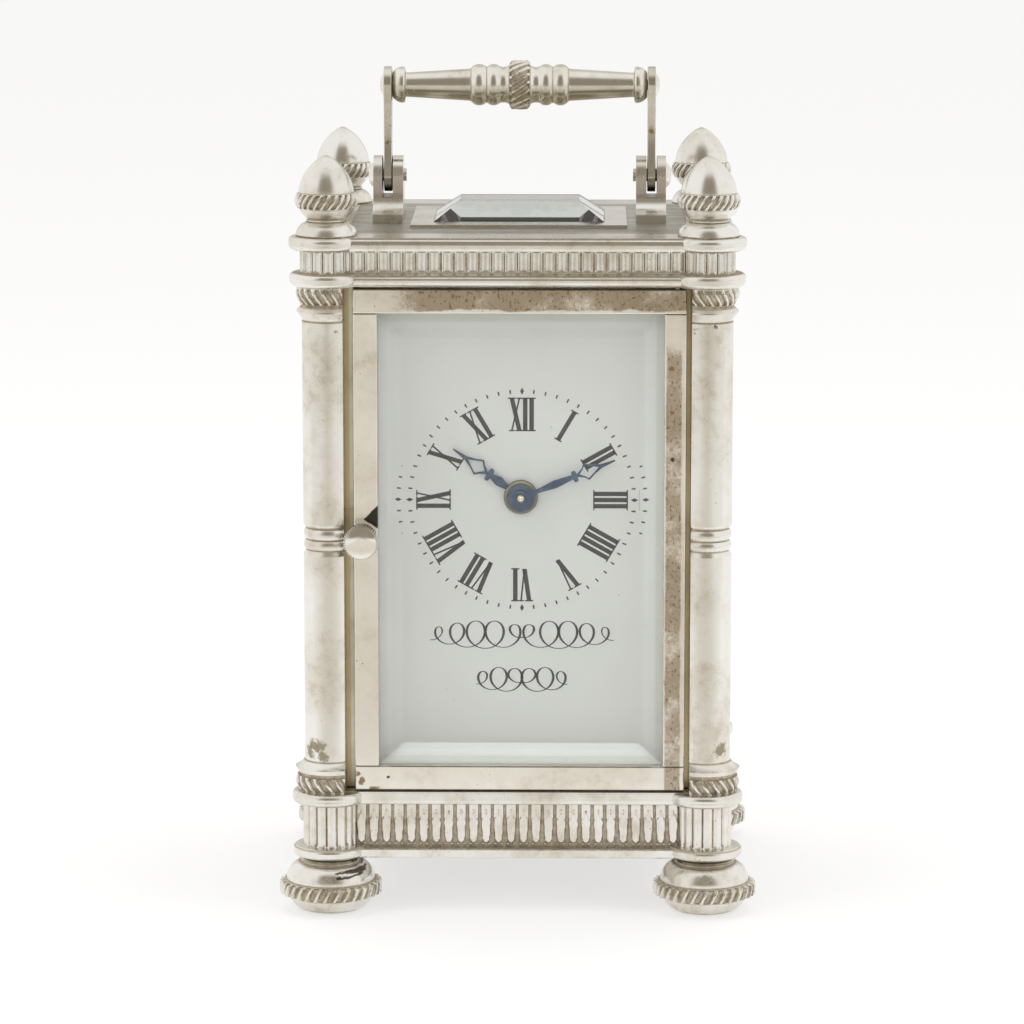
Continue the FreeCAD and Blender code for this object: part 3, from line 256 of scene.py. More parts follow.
def knob_painted_reflection(s, colour):
    """Black three-cornered painted reflection beside the knob of the front door."""
    x = s.axis("X")
    wobble = s.sway(s.noise(620, 4, 0.65), 0.9)
    height = s.plus(s.axis("Z"), wobble)
    upper = s.plus(s.times(x, 0.973), (KNOB_Z + 3.6 - 0.973 * (KNOB_X + 0.3)) * MM)
    lower = s.plus(s.times(x, -0.72), (KNOB_Z + 3.6 + 0.72 * (KNOB_X + 0.3)) * MM)
    inside = s.times(s.ramp_mm(s.minus(height, upper), 0.08, -0.08),
            s.ramp_mm(s.minus(height, lower), -0.08, 0.08))
    inside = s.times(inside, s.ramp(s.axis("Y"), 0.0, -5 * MM))
    inside = s.times(inside, s.ramp_mm(x, -23.0, -24.0))
    # painted reflection: the three-cornered patch is laid on in black
    return s.over(colour, inside, 0.96, BLACK)


def grip_shade(s, colour):
    """Olive-brown painted shade on the underside of the grip."""
    under = s.ramp_mm(s.axis("Z"), GRIP_Z + 0.8, GRIP_Z - 1.4)
    # painted shade: the underside is darkened towards olive-brown
    return s.over(colour, under, 0.55, (0.38, 0.32, 0.21))


def foot_painted_reflection(s, colour):
    """Two dark strokes of painted reflection, joined at the right, on the left front foot."""
    coarse = s.minus(s.noise(520, 4, 0.6, shift=(2, 5, 1)), 0.5)
    fine = s.minus(s.noise(1700, 5, 0.7, shift=(4, 1, 2)), 0.5)
    wobble = s.times(s.plus(coarse, s.times(fine, 0.7)), 1.1 * MM)
    across = s.plus(s.axis("X"), COLUMN_X * MM, wobble)
    height = s.plus(s.axis("Z"), s.times(wobble, 0.8))

    def stroke(left, right, start, rise, thin, swell):
        centre = s.plus(start * MM, s.times(across, rise))
        half = s.plus(thin * MM, s.times(across, swell))
        off = s.minus(s.size(s.minus(height, centre)), half)
        ends = s.times(s.ramp_mm(across, left, left + 0.4), s.ramp_mm(across, right, right - 0.4))
        return s.times(s.ramp_mm(off, 0.10, -0.10), ends)

    strokes = s.strongest(stroke(0.9, 6.7, 7.85, 0.045, 0.06, 0.055), stroke(1.1, 6.0, 7.0, 0.07, 0.30, -0.025),
            stroke(4.9, 6.2, 7.7, 0.0, 0.35, 0.0))
    front = s.ramp_mm(s.axis("Y"), -COLUMN_Y, -COLUMN_Y - 2)
    tone = s.blend(s.ramp(fine, -0.1, 0.12), BLACK, (0.10, 0.075, 0.05))
    # painted reflection: the strokes are laid on in near black
    return s.over(colour, strokes, s.times(front, 0.93), tone)


def slot_shade(s, colour):
    """Painted shade in the slot of the handle's fork, and a warm pinkish band below it."""
    reach = s.size(s.axis("X"))
    slot = s.times(s.ramp_mm(reach, 22.84, 22.88), s.ramp_mm(reach, 24.82, 24.78))
    slot = s.times(slot, s.ramp_mm(s.axis("Z"), 125.50, 125.58))
    film = s.times(s.ramp_mm(s.axis("Z"), 129.7, 129.5), s.ramp_mm(s.axis("Z"), 125.2, 125.6))
    colour = s.over(colour, film, 0.4, (0.58, 0.48, 0.40))
    # painted shade: the inside of the slot is darkened nearly to black
    return s.over(colour, slot, 0.9, (0.06, 0.045, 0.03))


def web_painted_reflection(s, colour):
    """Golden-brown painted reflection of the column's flank, on the web beside the column shaft."""
    reach = s.size(s.axis("X"))
    golden = s.ramp_mm(reach, 29.62, 29.86)
    # painted reflection: the web's side next to the column is tinted golden-brown
    return s.over(colour, golden, 0.8, (0.50, 0.40, 0.22))


def brass_material(name, light, dark, polish, grain=(1, 1, 1)):
    """Metal of the works: fine grain, faint clouding, painted shade darkening the crevices."""
    s = Shader(bpy.data.materials.new(name))
    clouds = s.ramp(s.noise(110, 4, 0.6), 0.35, 0.7)
    occlusion_shade = s.node("AmbientOcclusion", {"Distance": 1.5 * MM}, samples=4).outputs["AO"]
    lines = s.noise(4200, 3, 0.6, stretch=grain)
    colour = s.blend(s.times(clouds, 0.6), light, dark)
    # painted shade: crevices found by ambient occlusion are darkened
    colour = s.blend(s.ramp(occlusion_shade, 0.75, 0.3), colour, [c * 0.35 for c in dark])
    rough = s.maths("ADD", polish, s.times(lines, 0.16), clamp=True)
    return s.principled({"Base Color": colour, "Roughness": rough, "Metallic": 1.0,
            "Normal": s.bump(lines, 0.01, 0.5)})


def pane_tint_with_painted_bevel(s):
    """Door glass: clear and faintly green, with painted light: the bevel is tinted lighter and the thin outer
    edge greener, standing in for the tone steps the bevel gives.
    """
    z = s.axis("Z")
    side = s.minus((pane_high[0] - pane_low[0]) / 2 * MM, s.size(s.axis("X")))
    end = s.maths("MINIMUM", s.minus(pane_high[2] * MM, z), s.minus(z, pane_low[2] * MM))
    # painted light: the bevel band is tinted lighter
    bevel = s.ramp_mm(s.maths("MINIMUM", side, end), 4.36, 4.26)
    colour = s.blend(bevel, (0.945, 0.957, 0.950), (0.985, 0.997, 0.995))
    short = s.times(s.ramp_mm(end, 2.98, 2.88), s.ramp_mm(s.minus(side, end), -0.03, 0.03))
    # painted light: the thin outer edge is tinted greener
    rim = s.strongest(s.ramp_mm(side, 2.15, 2.05), short)
    return s.blend(rim, colour, (0.90, 0.925, 0.885))


def glass_material(name, colour=(0.975, 0.988, 0.980), tint=None):
    """Clear, faintly green glass. Rays from lamps pass straight through, so the dial behind it stays bright."""
    s = Shader(bpy.data.materials.new(name))
    smears = s.noise(60, 4, 0.6)
    glass = s.node("BsdfPrincipled", {"Base Color": tint(s) if tint else colour, "Transmission Weight": 1.0,
            "IOR": 1.5, "Roughness": 0.0, "Normal": s.bump(smears, 0.004, 0.4)})
    clear = s.node("BsdfTransparent", {"Color": (0.97, 0.98, 0.975)})
    path = s.node("LightPath").outputs["Is Shadow Ray"]
    return s.finish(s.node("MixShader", {0: path, 1: glass.outputs[0], 2: clear.outputs[0]}))


def enamel_material():
    """Fired white enamel with faint clouding and a scatter of fine brown specks."""
    s = Shader(bpy.data.materials.new("enamel"))
    clouds = s.ramp(s.noise(40, 4, 0.6), 0.35, 0.7)
    dots = s.node("TexVoronoi", {"Vector": s.coords, "Scale": 420.0}).outputs["Distance"]
    few = s.ramp(s.noise(900, 2, 0.5, shift=(2, 2, 2)), 0.56, 0.62)
    speck = s.times(s.ramp(dots, 0.10, 0.04), few)
    dirt = s.times(s.ramp(s.noise(520, 5, 0.7, shift=(5, 1, 3)), 0.60, 0.70),
            s.strongest(s.stain((26, -20, 47), 8, 0.1), s.stain((24, -20, 30), 7, 0.1)))
    colour = s.blend(clouds, (0.80, 0.808, 0.80), (0.84, 0.848, 0.84))
    colour = s.over(colour, speck, 0.55, (0.34, 0.29, 0.20))
    colour = s.over(colour, dirt, 0.5, (0.42, 0.38, 0.25))
    return s.principled({"Base Color": colour, "Roughness": s.plus(0.22, s.times(dirt, 0.4)),
            "Coat Weight": 0.4, "Coat Roughness": 0.12, "Normal": s.bump(s.noise(90, 3, 0.5), 0.02, 0.5)})


def ink_material():
    """Fired black print, worn a little thin in places."""
    s = Shader(bpy.data.materials.new("dial_ink"))
    wear = s.ramp(s.noise(2600, 4, 0.7), 0.60, 0.72)
    colour = s.blend(s.times(wear, 0.55), (0.030, 0.030, 0.036), (0.30, 0.30, 0.30))
    return s.principled({"Base Color": colour, "Roughness": s.plus(0.38, s.times(wear, 0.2))})


def blued_material():
    """Blued steel, worn to slate along the broad faces."""
    s = Shader(bpy.data.materials.new("blued_steel"))
    worn = s.ramp(s.noise(600, 5, 0.7), 0.40, 0.66)
    colour = s.blend(worn, (0.040, 0.075, 0.150), (0.10, 0.155, 0.21))
    rough = s.plus(0.30, s.times(worn, 0.22))
    return s.principled({"Base Color": colour, "Roughness": rough, "Metallic": 0.75,
            "Normal": s.bump(s.noise(1500, 4, 0.6), 0.01, 0.6)})


def floor_material():
    """Pale, faintly glowing table; reflections, not the camera, see it dimmer in front of the clock."""
    s = Shader(bpy.data.materials.new("pale_floor"))
    ahead = s.times(s.ramp(s.axis("Y"), -0.09, -0.19), s.unseen())
    middle = s.times(ahead, s.ramp(s.size(s.axis("X")), 0.26, 0.10))
    far = s.times(middle, s.ramp(s.axis("Y"), -0.95, -1.6))
    tone, glow = (0.42, 0.42, 0.42), (0.57, 0.57, 0.57)
    for where, next_tone, next_glow in ((ahead, (0.36, 0.36, 0.355), (0.48, 0.478, 0.465)),
            (middle, (0.28, 0.27, 0.25), (0.42, 0.40, 0.355)), (far, (0.12, 0.11, 0.09), (0.22, 0.19, 0.15))):
        tone, glow = s.blend(where, tone, next_tone), s.blend(where, glow, next_glow)
    return s.principled({"Base Color": tone, "Roughness": 0.8, "Specular IOR Level": 0.0,
            "Emission Color": glow, "Emission Strength": 1.0})


LIGHT = (0.82, 0.80, 0.755)
WARM = (0.71, 0.66, 0.57)
OLIVE = (0.30, 0.26, 0.17)
RUST = (0.24, 0.14, 0.06)
BLACK = (0.02, 0.018, 0.016)
COLUMN_STAINS = [((-37, -31.0, 29.4), 1.5, OLIVE), ((-34.5, -32.4, 28.6), 1.2, OLIVE),
        ((31.6, -31.6, 105.4), 0.5, RUST, 1.6), ((31.2, -31.6, 104.6), 0.35, RUST),
        ((34.6, -32.1, 105.9), 0.5, BLACK), ((-31.4, -31.0, 69.6), 0.8, OLIVE),
        ((-31.9, -32.0, 104.9), 0.4, OLIVE), ((-36.2, -31.6, 30.4), 1.4, OLIVE),
        ((-35.0, -32.3, 30.6), 1.3, OLIVE), ((36.0, -31.6, 30.0), 1.6, OLIVE)]
DOOR_STAINS = [((-27.7, -30.6, 23.9), 0.8, RUST), ((-28.3, -30.6, 25.2), 0.5, RUST),
        ((-23.0, -30.6, 24.6), 0.32, BLACK), ((-25.4, -30.6, 22.6), 0.42, RUST, 3.0),
        ((28.2, -30.6, 24.6), 0.5, OLIVE), ((27.3, -30.6, 82.0), 0.5, BLACK), ((27.2, -30.6, 90.5), 0.45, RUST),
        ((27.1, -30.6, 98.2), 0.6, RUST)]
FOOT_STAINS = [((-33.6, -35.3, 6.6), 0.7, OLIVE, 2.0), ((33.5, -35.4, 7.3), 0.8, OLIVE, 2.0)]
SILVER = silver_material("aged_silver", LIGHT, WARM, 0.22, specks=0.7, worn=0.6)
ARM_STAINS = [((-23.8, -1.5, 135.2), 0.8, RUST), ((-23.4, -1.5, 138.2), 0.45, RUST),
        ((23.8, -1.5, 137.4), 0.8, RUST), ((24.1, -1.5, 140.2), 0.4, RUST), ((23.6, -1.5, 131.6), 0.5, RUST)]
ARM_SILVER = silver_material("arm_silver", (0.72, 0.69, 0.62), (0.52, 0.48, 0.39), 0.24, specks=1.0, worn=0.9,
        stains=ARM_STAINS)
FORK_SILVER = silver_material("fork_silver", LIGHT, WARM, 0.22, specks=0.9, worn=0.6, tint=slot_shade)
COLUMN_SILVER = silver_material("column_silver", LIGHT, WARM, 0.22, specks=0.6, stains=COLUMN_STAINS, worn=0.6)
FOOT_SILVER = silver_material("foot_silver", LIGHT, WARM, 0.20, specks=0.8, worn=0.7, stains=FOOT_STAINS,
        tint=foot_painted_reflection)
DOOR_SILVER = silver_material("door_silver", (0.86, 0.83, 0.77), (0.79, 0.73, 0.64), 0.15, specks=1.0,
        stains=DOOR_STAINS, worn=0.3, zones=door_zones, tint=knob_painted_reflection)
PLATE_SILVER = silver_material("plate_silver", (0.50, 0.485, 0.43), (0.40, 0.375, 0.315), 0.33, specks=0.8,
        brushed=0.14, worn=0.6)
# The webs' darker olive-grey tone is painted shade and reflection of the recess they sit in.
WEB_SHADED_SILVER = silver_material("web_shaded_silver", (0.68, 0.66, 0.54), (0.54, 0.51, 0.38), 0.30, specks=0.3, worn=0.7,
        tint=web_painted_reflection)
GRIP_SILVER = silver_material("grip_silver", (0.80, 0.775, 0.71), (0.66, 0.61, 0.51), 0.20, specks=0.6,
        worn=0.7, tint=grip_shade)
KNOB_SILVER = silver_material("knob_silver", (0.90, 0.88, 0.84), (0.84, 0.81, 0.75), 0.06, specks=0.1, worn=0.1)
BRASS = brass_material("brass", (0.84, 0.63, 0.30), (0.66, 0.46, 0.19), 0.22, grain=(0.05, 1, 1))
STEEL = brass_material("steel", (0.66, 0.66, 0.67), (0.50, 0.50, 0.52), 0.20)
BRONZE = brass_material("bronze", (0.30, 0.265, 0.175), (0.15, 0.125, 0.08), 0.34)
SPRING_STEEL = brass_material("spring_steel", (0.42, 0.46, 0.54), (0.30, 0.34, 0.44), 0.25)
GLASS = glass_material("bevelled_glass")
DOOR_GLASS = glass_material("door_glass", tint=pane_tint_with_painted_bevel)
TOP_GLASS = glass_material("top_glass_tinted", (0.84, 0.90, 0.90))
ENAMEL = enamel_material()
INK = ink_material()
BLUED = blued_material()


# ======== mesh helpers
SHARP = 32               # degrees; a steeper edge than this is shaded sharp
ROUND = 288              # faces round a column, finial or corner lobe


def linked(made):
    bpy.context.scene.collection.objects.link(made)
    return made


def piece(name, mesh, materials, body, slot, stands_for, sharp=SHARP):
    """Object for a mesh, riding on a body and standing for CAD nodes."""
    mesh.materials.clear()
    for material in materials:
        mesh.materials.append(material)
    mesh.shade_smooth()
    mesh.set_sharp_from_angle(angle=math.radians(sharp))
    made = linked(bpy.data.objects.new(name, mesh))
    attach(made, body)
    if stands_for:
        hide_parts(*stands_for)
    return made


class Build:
    """Collects one piece's solids: points in millimetres, faces and how deep each point lies in a recess."""

    def __init__(self):
        self.points, self.faces, self.recess, self.materials = [], [], [], []

    def add(self, points, faces, recess=None, material=0):
        start = len(self.points)
        self.points += [tuple(p) for p in points]
        self.faces += [tuple(start + i for i in f) for f in faces]
        self.recess += list(recess) if recess is not None else [0.0] * len(points)
        self.materials += [material] * len(faces)

    def make(self, name, materials, body, slot, stands_for=(), sharp=SHARP):
        mesh = bpy.data.meshes.new(name)
        mesh.from_pydata([tuple(p) for p in np.asarray(self.points) * MM], [], self.faces)
        recess = mesh.attributes.new("recess", "FLOAT", "POINT")
        recess.data.foreach_set("value", np.asarray(self.recess, np.float32))
        piece(name, mesh, materials, body, slot, stands_for, sharp)
        mesh.polygons.foreach_set("material_index", self.materials)


def sampled(steps, pitch=0.16):
    """Points along an outline: (a, b) is a line to there, (a, b, c, d) an arc through (a, b) to (c, d)."""
    points = [np.array(steps[0], float)]
    for step in steps[1:]:
        here, target = points[-1], np.array(step[-2:], float)
        if len(step) == 4:
            through = np.array(step[:2], float)
            matrix = 2 * np.array([through - here, target - here])
            right = np.array([through @ through - here @ here, target @ target - here @ here])
            centre = np.linalg.solve(matrix, right)
            radius = np.linalg.norm(here - centre)
            first, middle, last = [math.atan2(*(p - centre)[::-1]) for p in (here, through, target)]
            sweep, turn = (middle - first) % (2 * math.pi), (last - first) % (2 * math.pi)
            turn = turn if sweep < turn else turn - 2 * math.pi
            count = max(3, int(abs(turn) * radius / pitch))
            for i in range(1, count + 1):
                angle = first + turn * i / count
                points.append(centre + radius * np.array([math.cos(angle), math.sin(angle)]))
        else:
            count = max(1, int(np.linalg.norm(target - here) / (pitch * 2)))
            points += [here + (target - here) * i / count for i in range(1, count + 1)]
    return np.array(points)


def raised(steps, by):
    """Outline steps with their heights raised."""
    return [tuple(value + by if place % 2 else value for place, value in enumerate(step)) for step in steps]


def lathe(build, outline, centre, direction="z", segments=ROUND, relief=None, clamp=None, pocket=None):
    """Turned solid. relief(angle, along, radius) gives the radius and the recess depth of each point.

    clamp is (where the form is cut flat on two sides, sign of each side); pocket is (lowest, highest, start on
    the second axis, how close to the centre it comes)."""
    radii, along = outline[:, 0], outline[:, 1]
    angles = np.arange(segments) * 2 * math.pi / segments
    angle, height = np.meshgrid(angles, along)
    radius = np.repeat(radii[:, None], segments, 1)
    recess = np.zeros_like(radius)
    if relief:
        radius, recess = relief(angle, height, radius)
    a, b = radius * np.cos(angle), radius * np.sin(angle)
    if clamp:
        flat, sign_a, sign_b = clamp
        a = np.minimum(a * sign_a, flat) * sign_a
        b = np.minimum(b * sign_b, flat) * sign_b
        if pocket:
            low, high, start, deep = pocket
            inside = (height > low) & (height < high) & (b * sign_b > start)
            a = np.where(inside, np.minimum(a * sign_a, deep) * sign_a, a)
    grid = {"z": (a, b, height), "x": (height, a, b), "y": (a, height, b)}[direction]
    points = np.stack(grid, -1).reshape(-1, 3) + np.array(centre)
    rows = len(outline)
    faces = []
    for row in range(rows - 1):
        for i in range(segments):
            j = (i + 1) % segments
            faces.append((row * segments + i, row * segments + j, (row + 1) * segments + j,
                    (row + 1) * segments + i))
    faces.append(tuple(range(segments))[::-1])
    faces.append(tuple((rows - 1) * segments + i for i in range(segments)))
    if direction == "y":
        faces = [f[::-1] for f in faces]
    build.add(points, faces, recess.ravel())


def turned(name, outline, centre, material, body, slot, stands_for=(), **settings):
    """Piece made of one turned solid."""
    build = Build()
    lathe(build, outline, centre, **settings)
    build.make(name, [material], body, slot, stands_for)


def block(build, low, high, bevel=0.12, material=0):
    """Box with small rounded edges."""
    low, high = np.array(low, float), np.array(high, float)
    work = bmesh.new()
    bmesh.ops.create_cube(work, size=1.0)
    for vertex in work.verts:
        vertex.co = (low + high) / 2 + np.array(vertex.co) * (high - low)
    if bevel:
        bmesh.ops.bevel(work, geom=work.edges[:], offset=bevel, segments=2, affect="EDGES", profile=0.5)
    work.verts.index_update()
    build.add([v.co[:] for v in work.verts], [[v.index for v in f.verts] for f in work.faces],
            material=material)
    work.free()


def within(value, low, high, soft):
    """1 between two bounds, falling to 0 at them over a soft width."""
    return np.clip(np.minimum(value - low, high - value) / soft, 0, 1)


def off_middle(phase):
    """0 in the middle of each whole step of a phase, 1 at the step's ends."""
    return np.abs(phase % 1 - 0.5) * 2


def eased(value):
    return value * value * (3 - 2 * value)


def rope(low, high, strands, lean, depth, pits=0.5):
    """Rope band between two heights; lean is the twist across it, in strands, and pits the dark share."""
    def relief(angle, along, radius):
        inside = within(along, low, high, 0.15)
        phase = strands * angle / 2 + math.pi * lean * (along - low) / (high - low)
        across = off_middle(phase / math.pi)
        ridge = 1 - eased(np.clip((across - pits + 0.12) / 0.24, 0, 1))
        hump = np.clip(1 - (across / max(1 - pits, 0.3)) ** 2, 0, 1) * 0.25
        fall = (1 - ridge) + 0.25 * ridge - hump * ridge
        return radius - depth * fall * inside, (1 - ridge) * inside * 1.1
    return relief


def stacked(*reliefs):
    """Several reliefs on one turned form."""
    def relief(angle, along, radius):
        deepest = np.zeros_like(radius)
        for one in reliefs:
            radius, recess = one(angle, along, radius)
            deepest = np.maximum(deepest, recess)
        return radius, deepest
    return relief


def rounded_copy(node, material, body, slot, width=0.15):
    """Copy of a CAD node with its edges rounded, standing for it."""
    work = bmesh.new()
    work.from_mesh(nodes[node].data)
    bmesh.ops.remove_doubles(work, verts=work.verts[:], dist=1e-6)
    bmesh.ops.dissolve_limit(work, angle_limit=math.radians(1.0), verts=work.verts[:], edges=work.edges[:])
    mesh = bpy.data.meshes.new(node + "_rounded")
    work.to_mesh(mesh)
    work.free()
    made = piece(node + "_rounded", mesh, [material], body, slot, [node])
    bevel = made.modifiers.new("edges", "BEVEL")
    bevel.width = width * MM
    bevel.segments = 2
    bevel.limit_method = "ANGLE"
    bevel.angle_limit = math.radians(SHARP)
    bevel.harden_normals = True


# ======== feet, columns, finials
def foot(name, x, y):
    outline = sampled([(0.01, 0), (4.3, 0), (4.6, 0.05), (6.55, 0.95, 7.45, 2.7), (8.3, 2.85),
            (FOOT_R - 0.1, 3.1), (FOOT_R, 4.15, FOOT_R - 0.1, 5.2), (8.4, 5.4), (7.9, 5.55),
            (7.45, 7.4, 5.8, 8.75), (5.3, 8.85), (5.25, 9.0), (5.4, 9.25), (5.1, FOOT_TOP - 0.02),
            (0.01, FOOT_TOP)])
    marks = stacked(rope(2.8, 5.42, 32, -0.75, 0.8, 0.42), grooves([2.65, 5.55, 8.85], 0.3))
    turned("foot_" + name + "_turned", outline, (x, y, 0), FOOT_SILVER, "root", "aged_silver", ["foot_" + name],
            segments=416, relief=marks)


def finial(name, x, y):
    top = CORNICE_TOP
    outline = sampled(raised([
        (0.01, -0.03), (5.3, 0), (5.45, 0.25), (5.03, 1.34, 3.6, 2.45), (3.38, 2.52), (3.4, 2.6),
        (3.58, 2.72, 3.4, 2.84), (3.36, 2.95), (4.2, 3.78, 4.8, 4.65), (5.05, 4.9),
        (5.6, 6.3, 5.15, 7.45)], top))
    marks = stacked(rope(top + 4.9, top + 7.5, 24, -1.2, 0.6, 0.5),
            grooves([top + 7.6, top + 2.92, top + 2.5, top + 0.05], 0.2))
    turned("finial_" + name + "_turned", np.concatenate([outline, bud(top + 7.6)]), (x, y, 0), SILVER, "root",
            "aged_silver", ["finial_" + name], segments=ROUND, relief=marks)


def bud(base):
    """Profile of the pointed bud above the rope band."""
    rise = np.linspace(0, 1, 44)
    radius = 4.88 * np.clip(1 - rise ** 1.75, 0, 1) ** 0.72
    radius[-1] = 0.01
    return np.stack([radius, base + 6.5 * rise], -1)


SHAFT_R = 4.46
COLUMN_FLAT = 2.9        # the column is cut flat at this distance from its axis, on its two inner sides


def column(name, side_x, side_y):
    """Three-quarter column with rope rings at both ends, a double bead in the middle and an inner web."""
    z0, z1 = BASE_TOP, COLUMN_TOP
    foot_ring = [(0.01, 0), (5.65, 0), (5.7, 0.25), (6.1, 1.5, 5.8, 2.8), (5.35, 2.85), (5.35, 3.4), (5.8, 3.5),
            (6.15, 4.3), (5.2, 4.9, 4.62, 5.5), (SHAFT_R, 5.55)]
    middle = [(SHAFT_R, 64.75), (3.95, 65.65), (4.4, 66.6, 3.93, 67.5), (4.4, 68.55, 3.93, 69.55), (4.35, 70.0),
            (SHAFT_R, 70.3)]
    head = [(SHAFT_R, -6.15), (4.3, -6.05), (4.6, -5.5), (5.4, -4.4), (5.35, -4.2), (4.5, -3.3), (4.75, -3.0),
            (5.2, -2.2, 5.55, -0.9), (5.3, -0.1), (5.3, 0), (0.01, 0)]
    outline = sampled(raised(foot_ring, z0) + middle + raised(head, z1))
    bands = stacked(rope(z0 + 0.1, z0 + 2.75, 20, 1.0, 0.62, 0.42),
            rope(z1 - 3.0, z1 - 0.1, 20, 1.1, 0.55, 0.42),
            grooves([z0 + 5.5, 65.65, 67.5, 69.55, z1 - 6.1, z1 - 3.3], 0.3), darkened(z0 + 2.75, z0 + 3.5),
            darkened(z1 - 3.7, z1 - 3.0))
    build = Build()
    x, y = side_x * COLUMN_X, side_y * COLUMN_Y
    mortise_low, mortise_high = KNOB_Z - 1.7, KNOB_Z + 4.9
    mortised = side_x == side_y
    lathe(build, outline, (x, y, 0), segments=ROUND, relief=bands, clamp=(COLUMN_FLAT, -side_x, -side_y),
            pocket=(mortise_low, mortise_high, 1.45, 1.3) if mortised else None)
    inner_x, outer_x = x - side_x * 5.7, x - side_x * 0.8
    inner_y, outer_y = y - side_y * 5.7, y - side_y * 0.8
    heights = [(z0 + 0.02, z1 - 0.02)]
    if mortised:
        heights = [(z0 + 0.02, mortise_low), (mortise_high, z1 - 0.02)]
        lip, back = y - side_y * 1.4, y - side_y * 2.8
        web(build, (inner_x, outer_x), (back, inner_y), (mortise_low, mortise_high))
        web(build, (x - side_x * 4.5, outer_x), (outer_y, lip), (mortise_low, mortise_high))
    for height in heights:
        web(build, (inner_x, outer_x), (inner_y, outer_y), height)
    build.make("column_" + name + "_turned", [COLUMN_SILVER, WEB_SHADED_SILVER], "root", "aged_silver",
            ["column_" + name], sharp=21)


def web(build, xs, ys, zs):
    block(build, (min(xs), min(ys), zs[0]), (max(xs), max(ys), zs[1]), 0.05, material=1)


def grooves(heights, width):
    """Tarnish that gathers in the narrow grooves at some heights, with no change of shape."""
    def relief(angle, along, radius):
        recess = np.zeros_like(radius)
        for height in heights:
            recess = np.maximum(recess, np.clip(1 - np.abs(along - height) / width, 0, 1))
        return radius, recess
    return relief


def darkened(low, high):
    def relief(angle, along, radius):
        return radius, ((along > low) & (along < high)) * 0.85
    return relief


# ======== base and cornice
PITCH = 2.23             # millimetres from leaf to leaf and from flute to flute
LOBE_REEDS = 15          # reeds or flutes round a full corner lobe


def reeds(low, high, count, depth):
    """Upright convex reeds round a corner lobe."""
    def relief(angle, along, radius):
        inside = within(along, low, high, 0.2)
        across = off_middle(count * angle / (2 * math.pi))
        reed = np.sqrt(np.clip(1 - across ** 2.4, 0, 1))
        return radius - depth * (1 - reed) * inside, np.clip((across - 0.86) / 0.08, 0, 1) * inside
    return relief


def hollows(low, high, count, depth):
    """Upright concave flutes round a corner lobe."""
    def relief(angle, along, radius):
        inside = within(along, low, high, 0.25)
        change, recess = fluted(off_middle(count * angle / (2 * math.pi)), depth)
        return radius + change * inside, recess * inside
    return relief


def fluted(across, depth):
    """Cross-section of one flute from its middle (0) to half a pitch away (1)."""
    bowl = np.sqrt(np.clip(1 - (across / 0.70) ** 2, 0, 1))
    seam = np.clip((across - 0.87) / 0.06, 0, 1)
    return -depth * bowl - 0.22 * seam, np.maximum(seam, 0.42 * np.clip(bowl * 1.4 - 0.4, 0, 1))


def flutes(low, high, pitch, depth):
    """Concave flutes with lips, and dirt along their feet."""
    def relief(along, height):
        change, recess = fluted(off_middle(along / pitch), depth)
        end = np.clip(np.minimum(height - low - 0.15, high - 0.12 - height) / 0.3, 0, 1)
        dirt = np.clip(1 - np.abs(height - low - 0.2) / 0.5, 0, 1)
        return change * end, np.maximum(recess * end, dirt * 0.8)
    return relief


def leaves(low, high, pitch, depth):
    """Raised tongues, round at the foot, each overlaid by a pointed leaf."""
    def relief(along, height):
        across = off_middle(along / pitch)
        level = (height - low) / (high - low)
        edge = np.interp(level, [0.0, 0.025, 0.07, 0.25, 0.45, 0.62, 1.0],
                [0.42, 0.57, 0.66, 0.72, 0.80, 0.86, 0.85])
        tongue = eased(np.clip((edge - across) / 0.13, 0, 1))
        fold = np.clip((0.80 - level) / 0.30, 0, 1) * 0.84
        under = across < fold
        line = np.clip(1 - np.abs(across - fold) / 0.08, 0, 1) * ((across > 0.44) & (level > 0.5)) * tongue
        crown = 1 - 0.35 * (across / 0.86) ** 2
        shape = depth * tongue * (0.72 * crown + 0.28 * under - 0.25 * line)
        return shape - depth, np.maximum((1 - tongue) * 1.1, line * 0.9)
    return relief


def run(build, steps, length, place):
    """Straight moulding. Steps are (reach, height) round its cross-section."""
    outline = sampled(steps, 0.22)
    rows = len(outline)
    ends = np.repeat([-length / 2, length / 2], rows)
    points = place(ends, np.tile(outline[:, 0], 2), np.tile(outline[:, 1], 2))
    faces = [(j, rows + j, rows + (j + 1) % rows, (j + 1) % rows) for j in range(rows)]
    build.add(points, faces + [tuple(range(rows)), tuple(rows + j for j in range(rows))[::-1]])


def panel(build, band, reach, back, length, place, relief):
    """Carved face of a frieze: a fine grid in front with a plain back behind it."""
    columns, rows = int(length / 0.14), int((band[1] - band[0]) / 0.22)
    along, height = np.meshgrid(np.linspace(-length / 2, length / 2, columns + 1),
            np.linspace(band[0], band[1], rows + 1), indexing="ij")
    change, recess = relief(along, height)
    front = reach + change
    along = np.concatenate([along, along[:, [0, -1]]], 1)
    height = np.concatenate([height, height[:, [0, -1]]], 1)
    front = np.concatenate([front, np.full((columns + 1, 2), back)], 1)
    recess = np.concatenate([recess, np.zeros((columns + 1, 2))], 1)
    points = place(along.ravel(), front.ravel(), height.ravel())
    wide = rows + 3
    loop = list(range(rows + 1)) + [rows + 2, rows + 1]
    faces = []
    for i in range(columns):
        for a, b in zip(loop, loop[1:] + loop[:1]):
            faces.append((i * wide + a, (i + 1) * wide + a, (i + 1) * wide + b, i * wide + b))
    faces += [tuple(a for a in loop), tuple(columns * wide + a for a in loop)[::-1]]
    build.add(points, faces, recess.ravel())


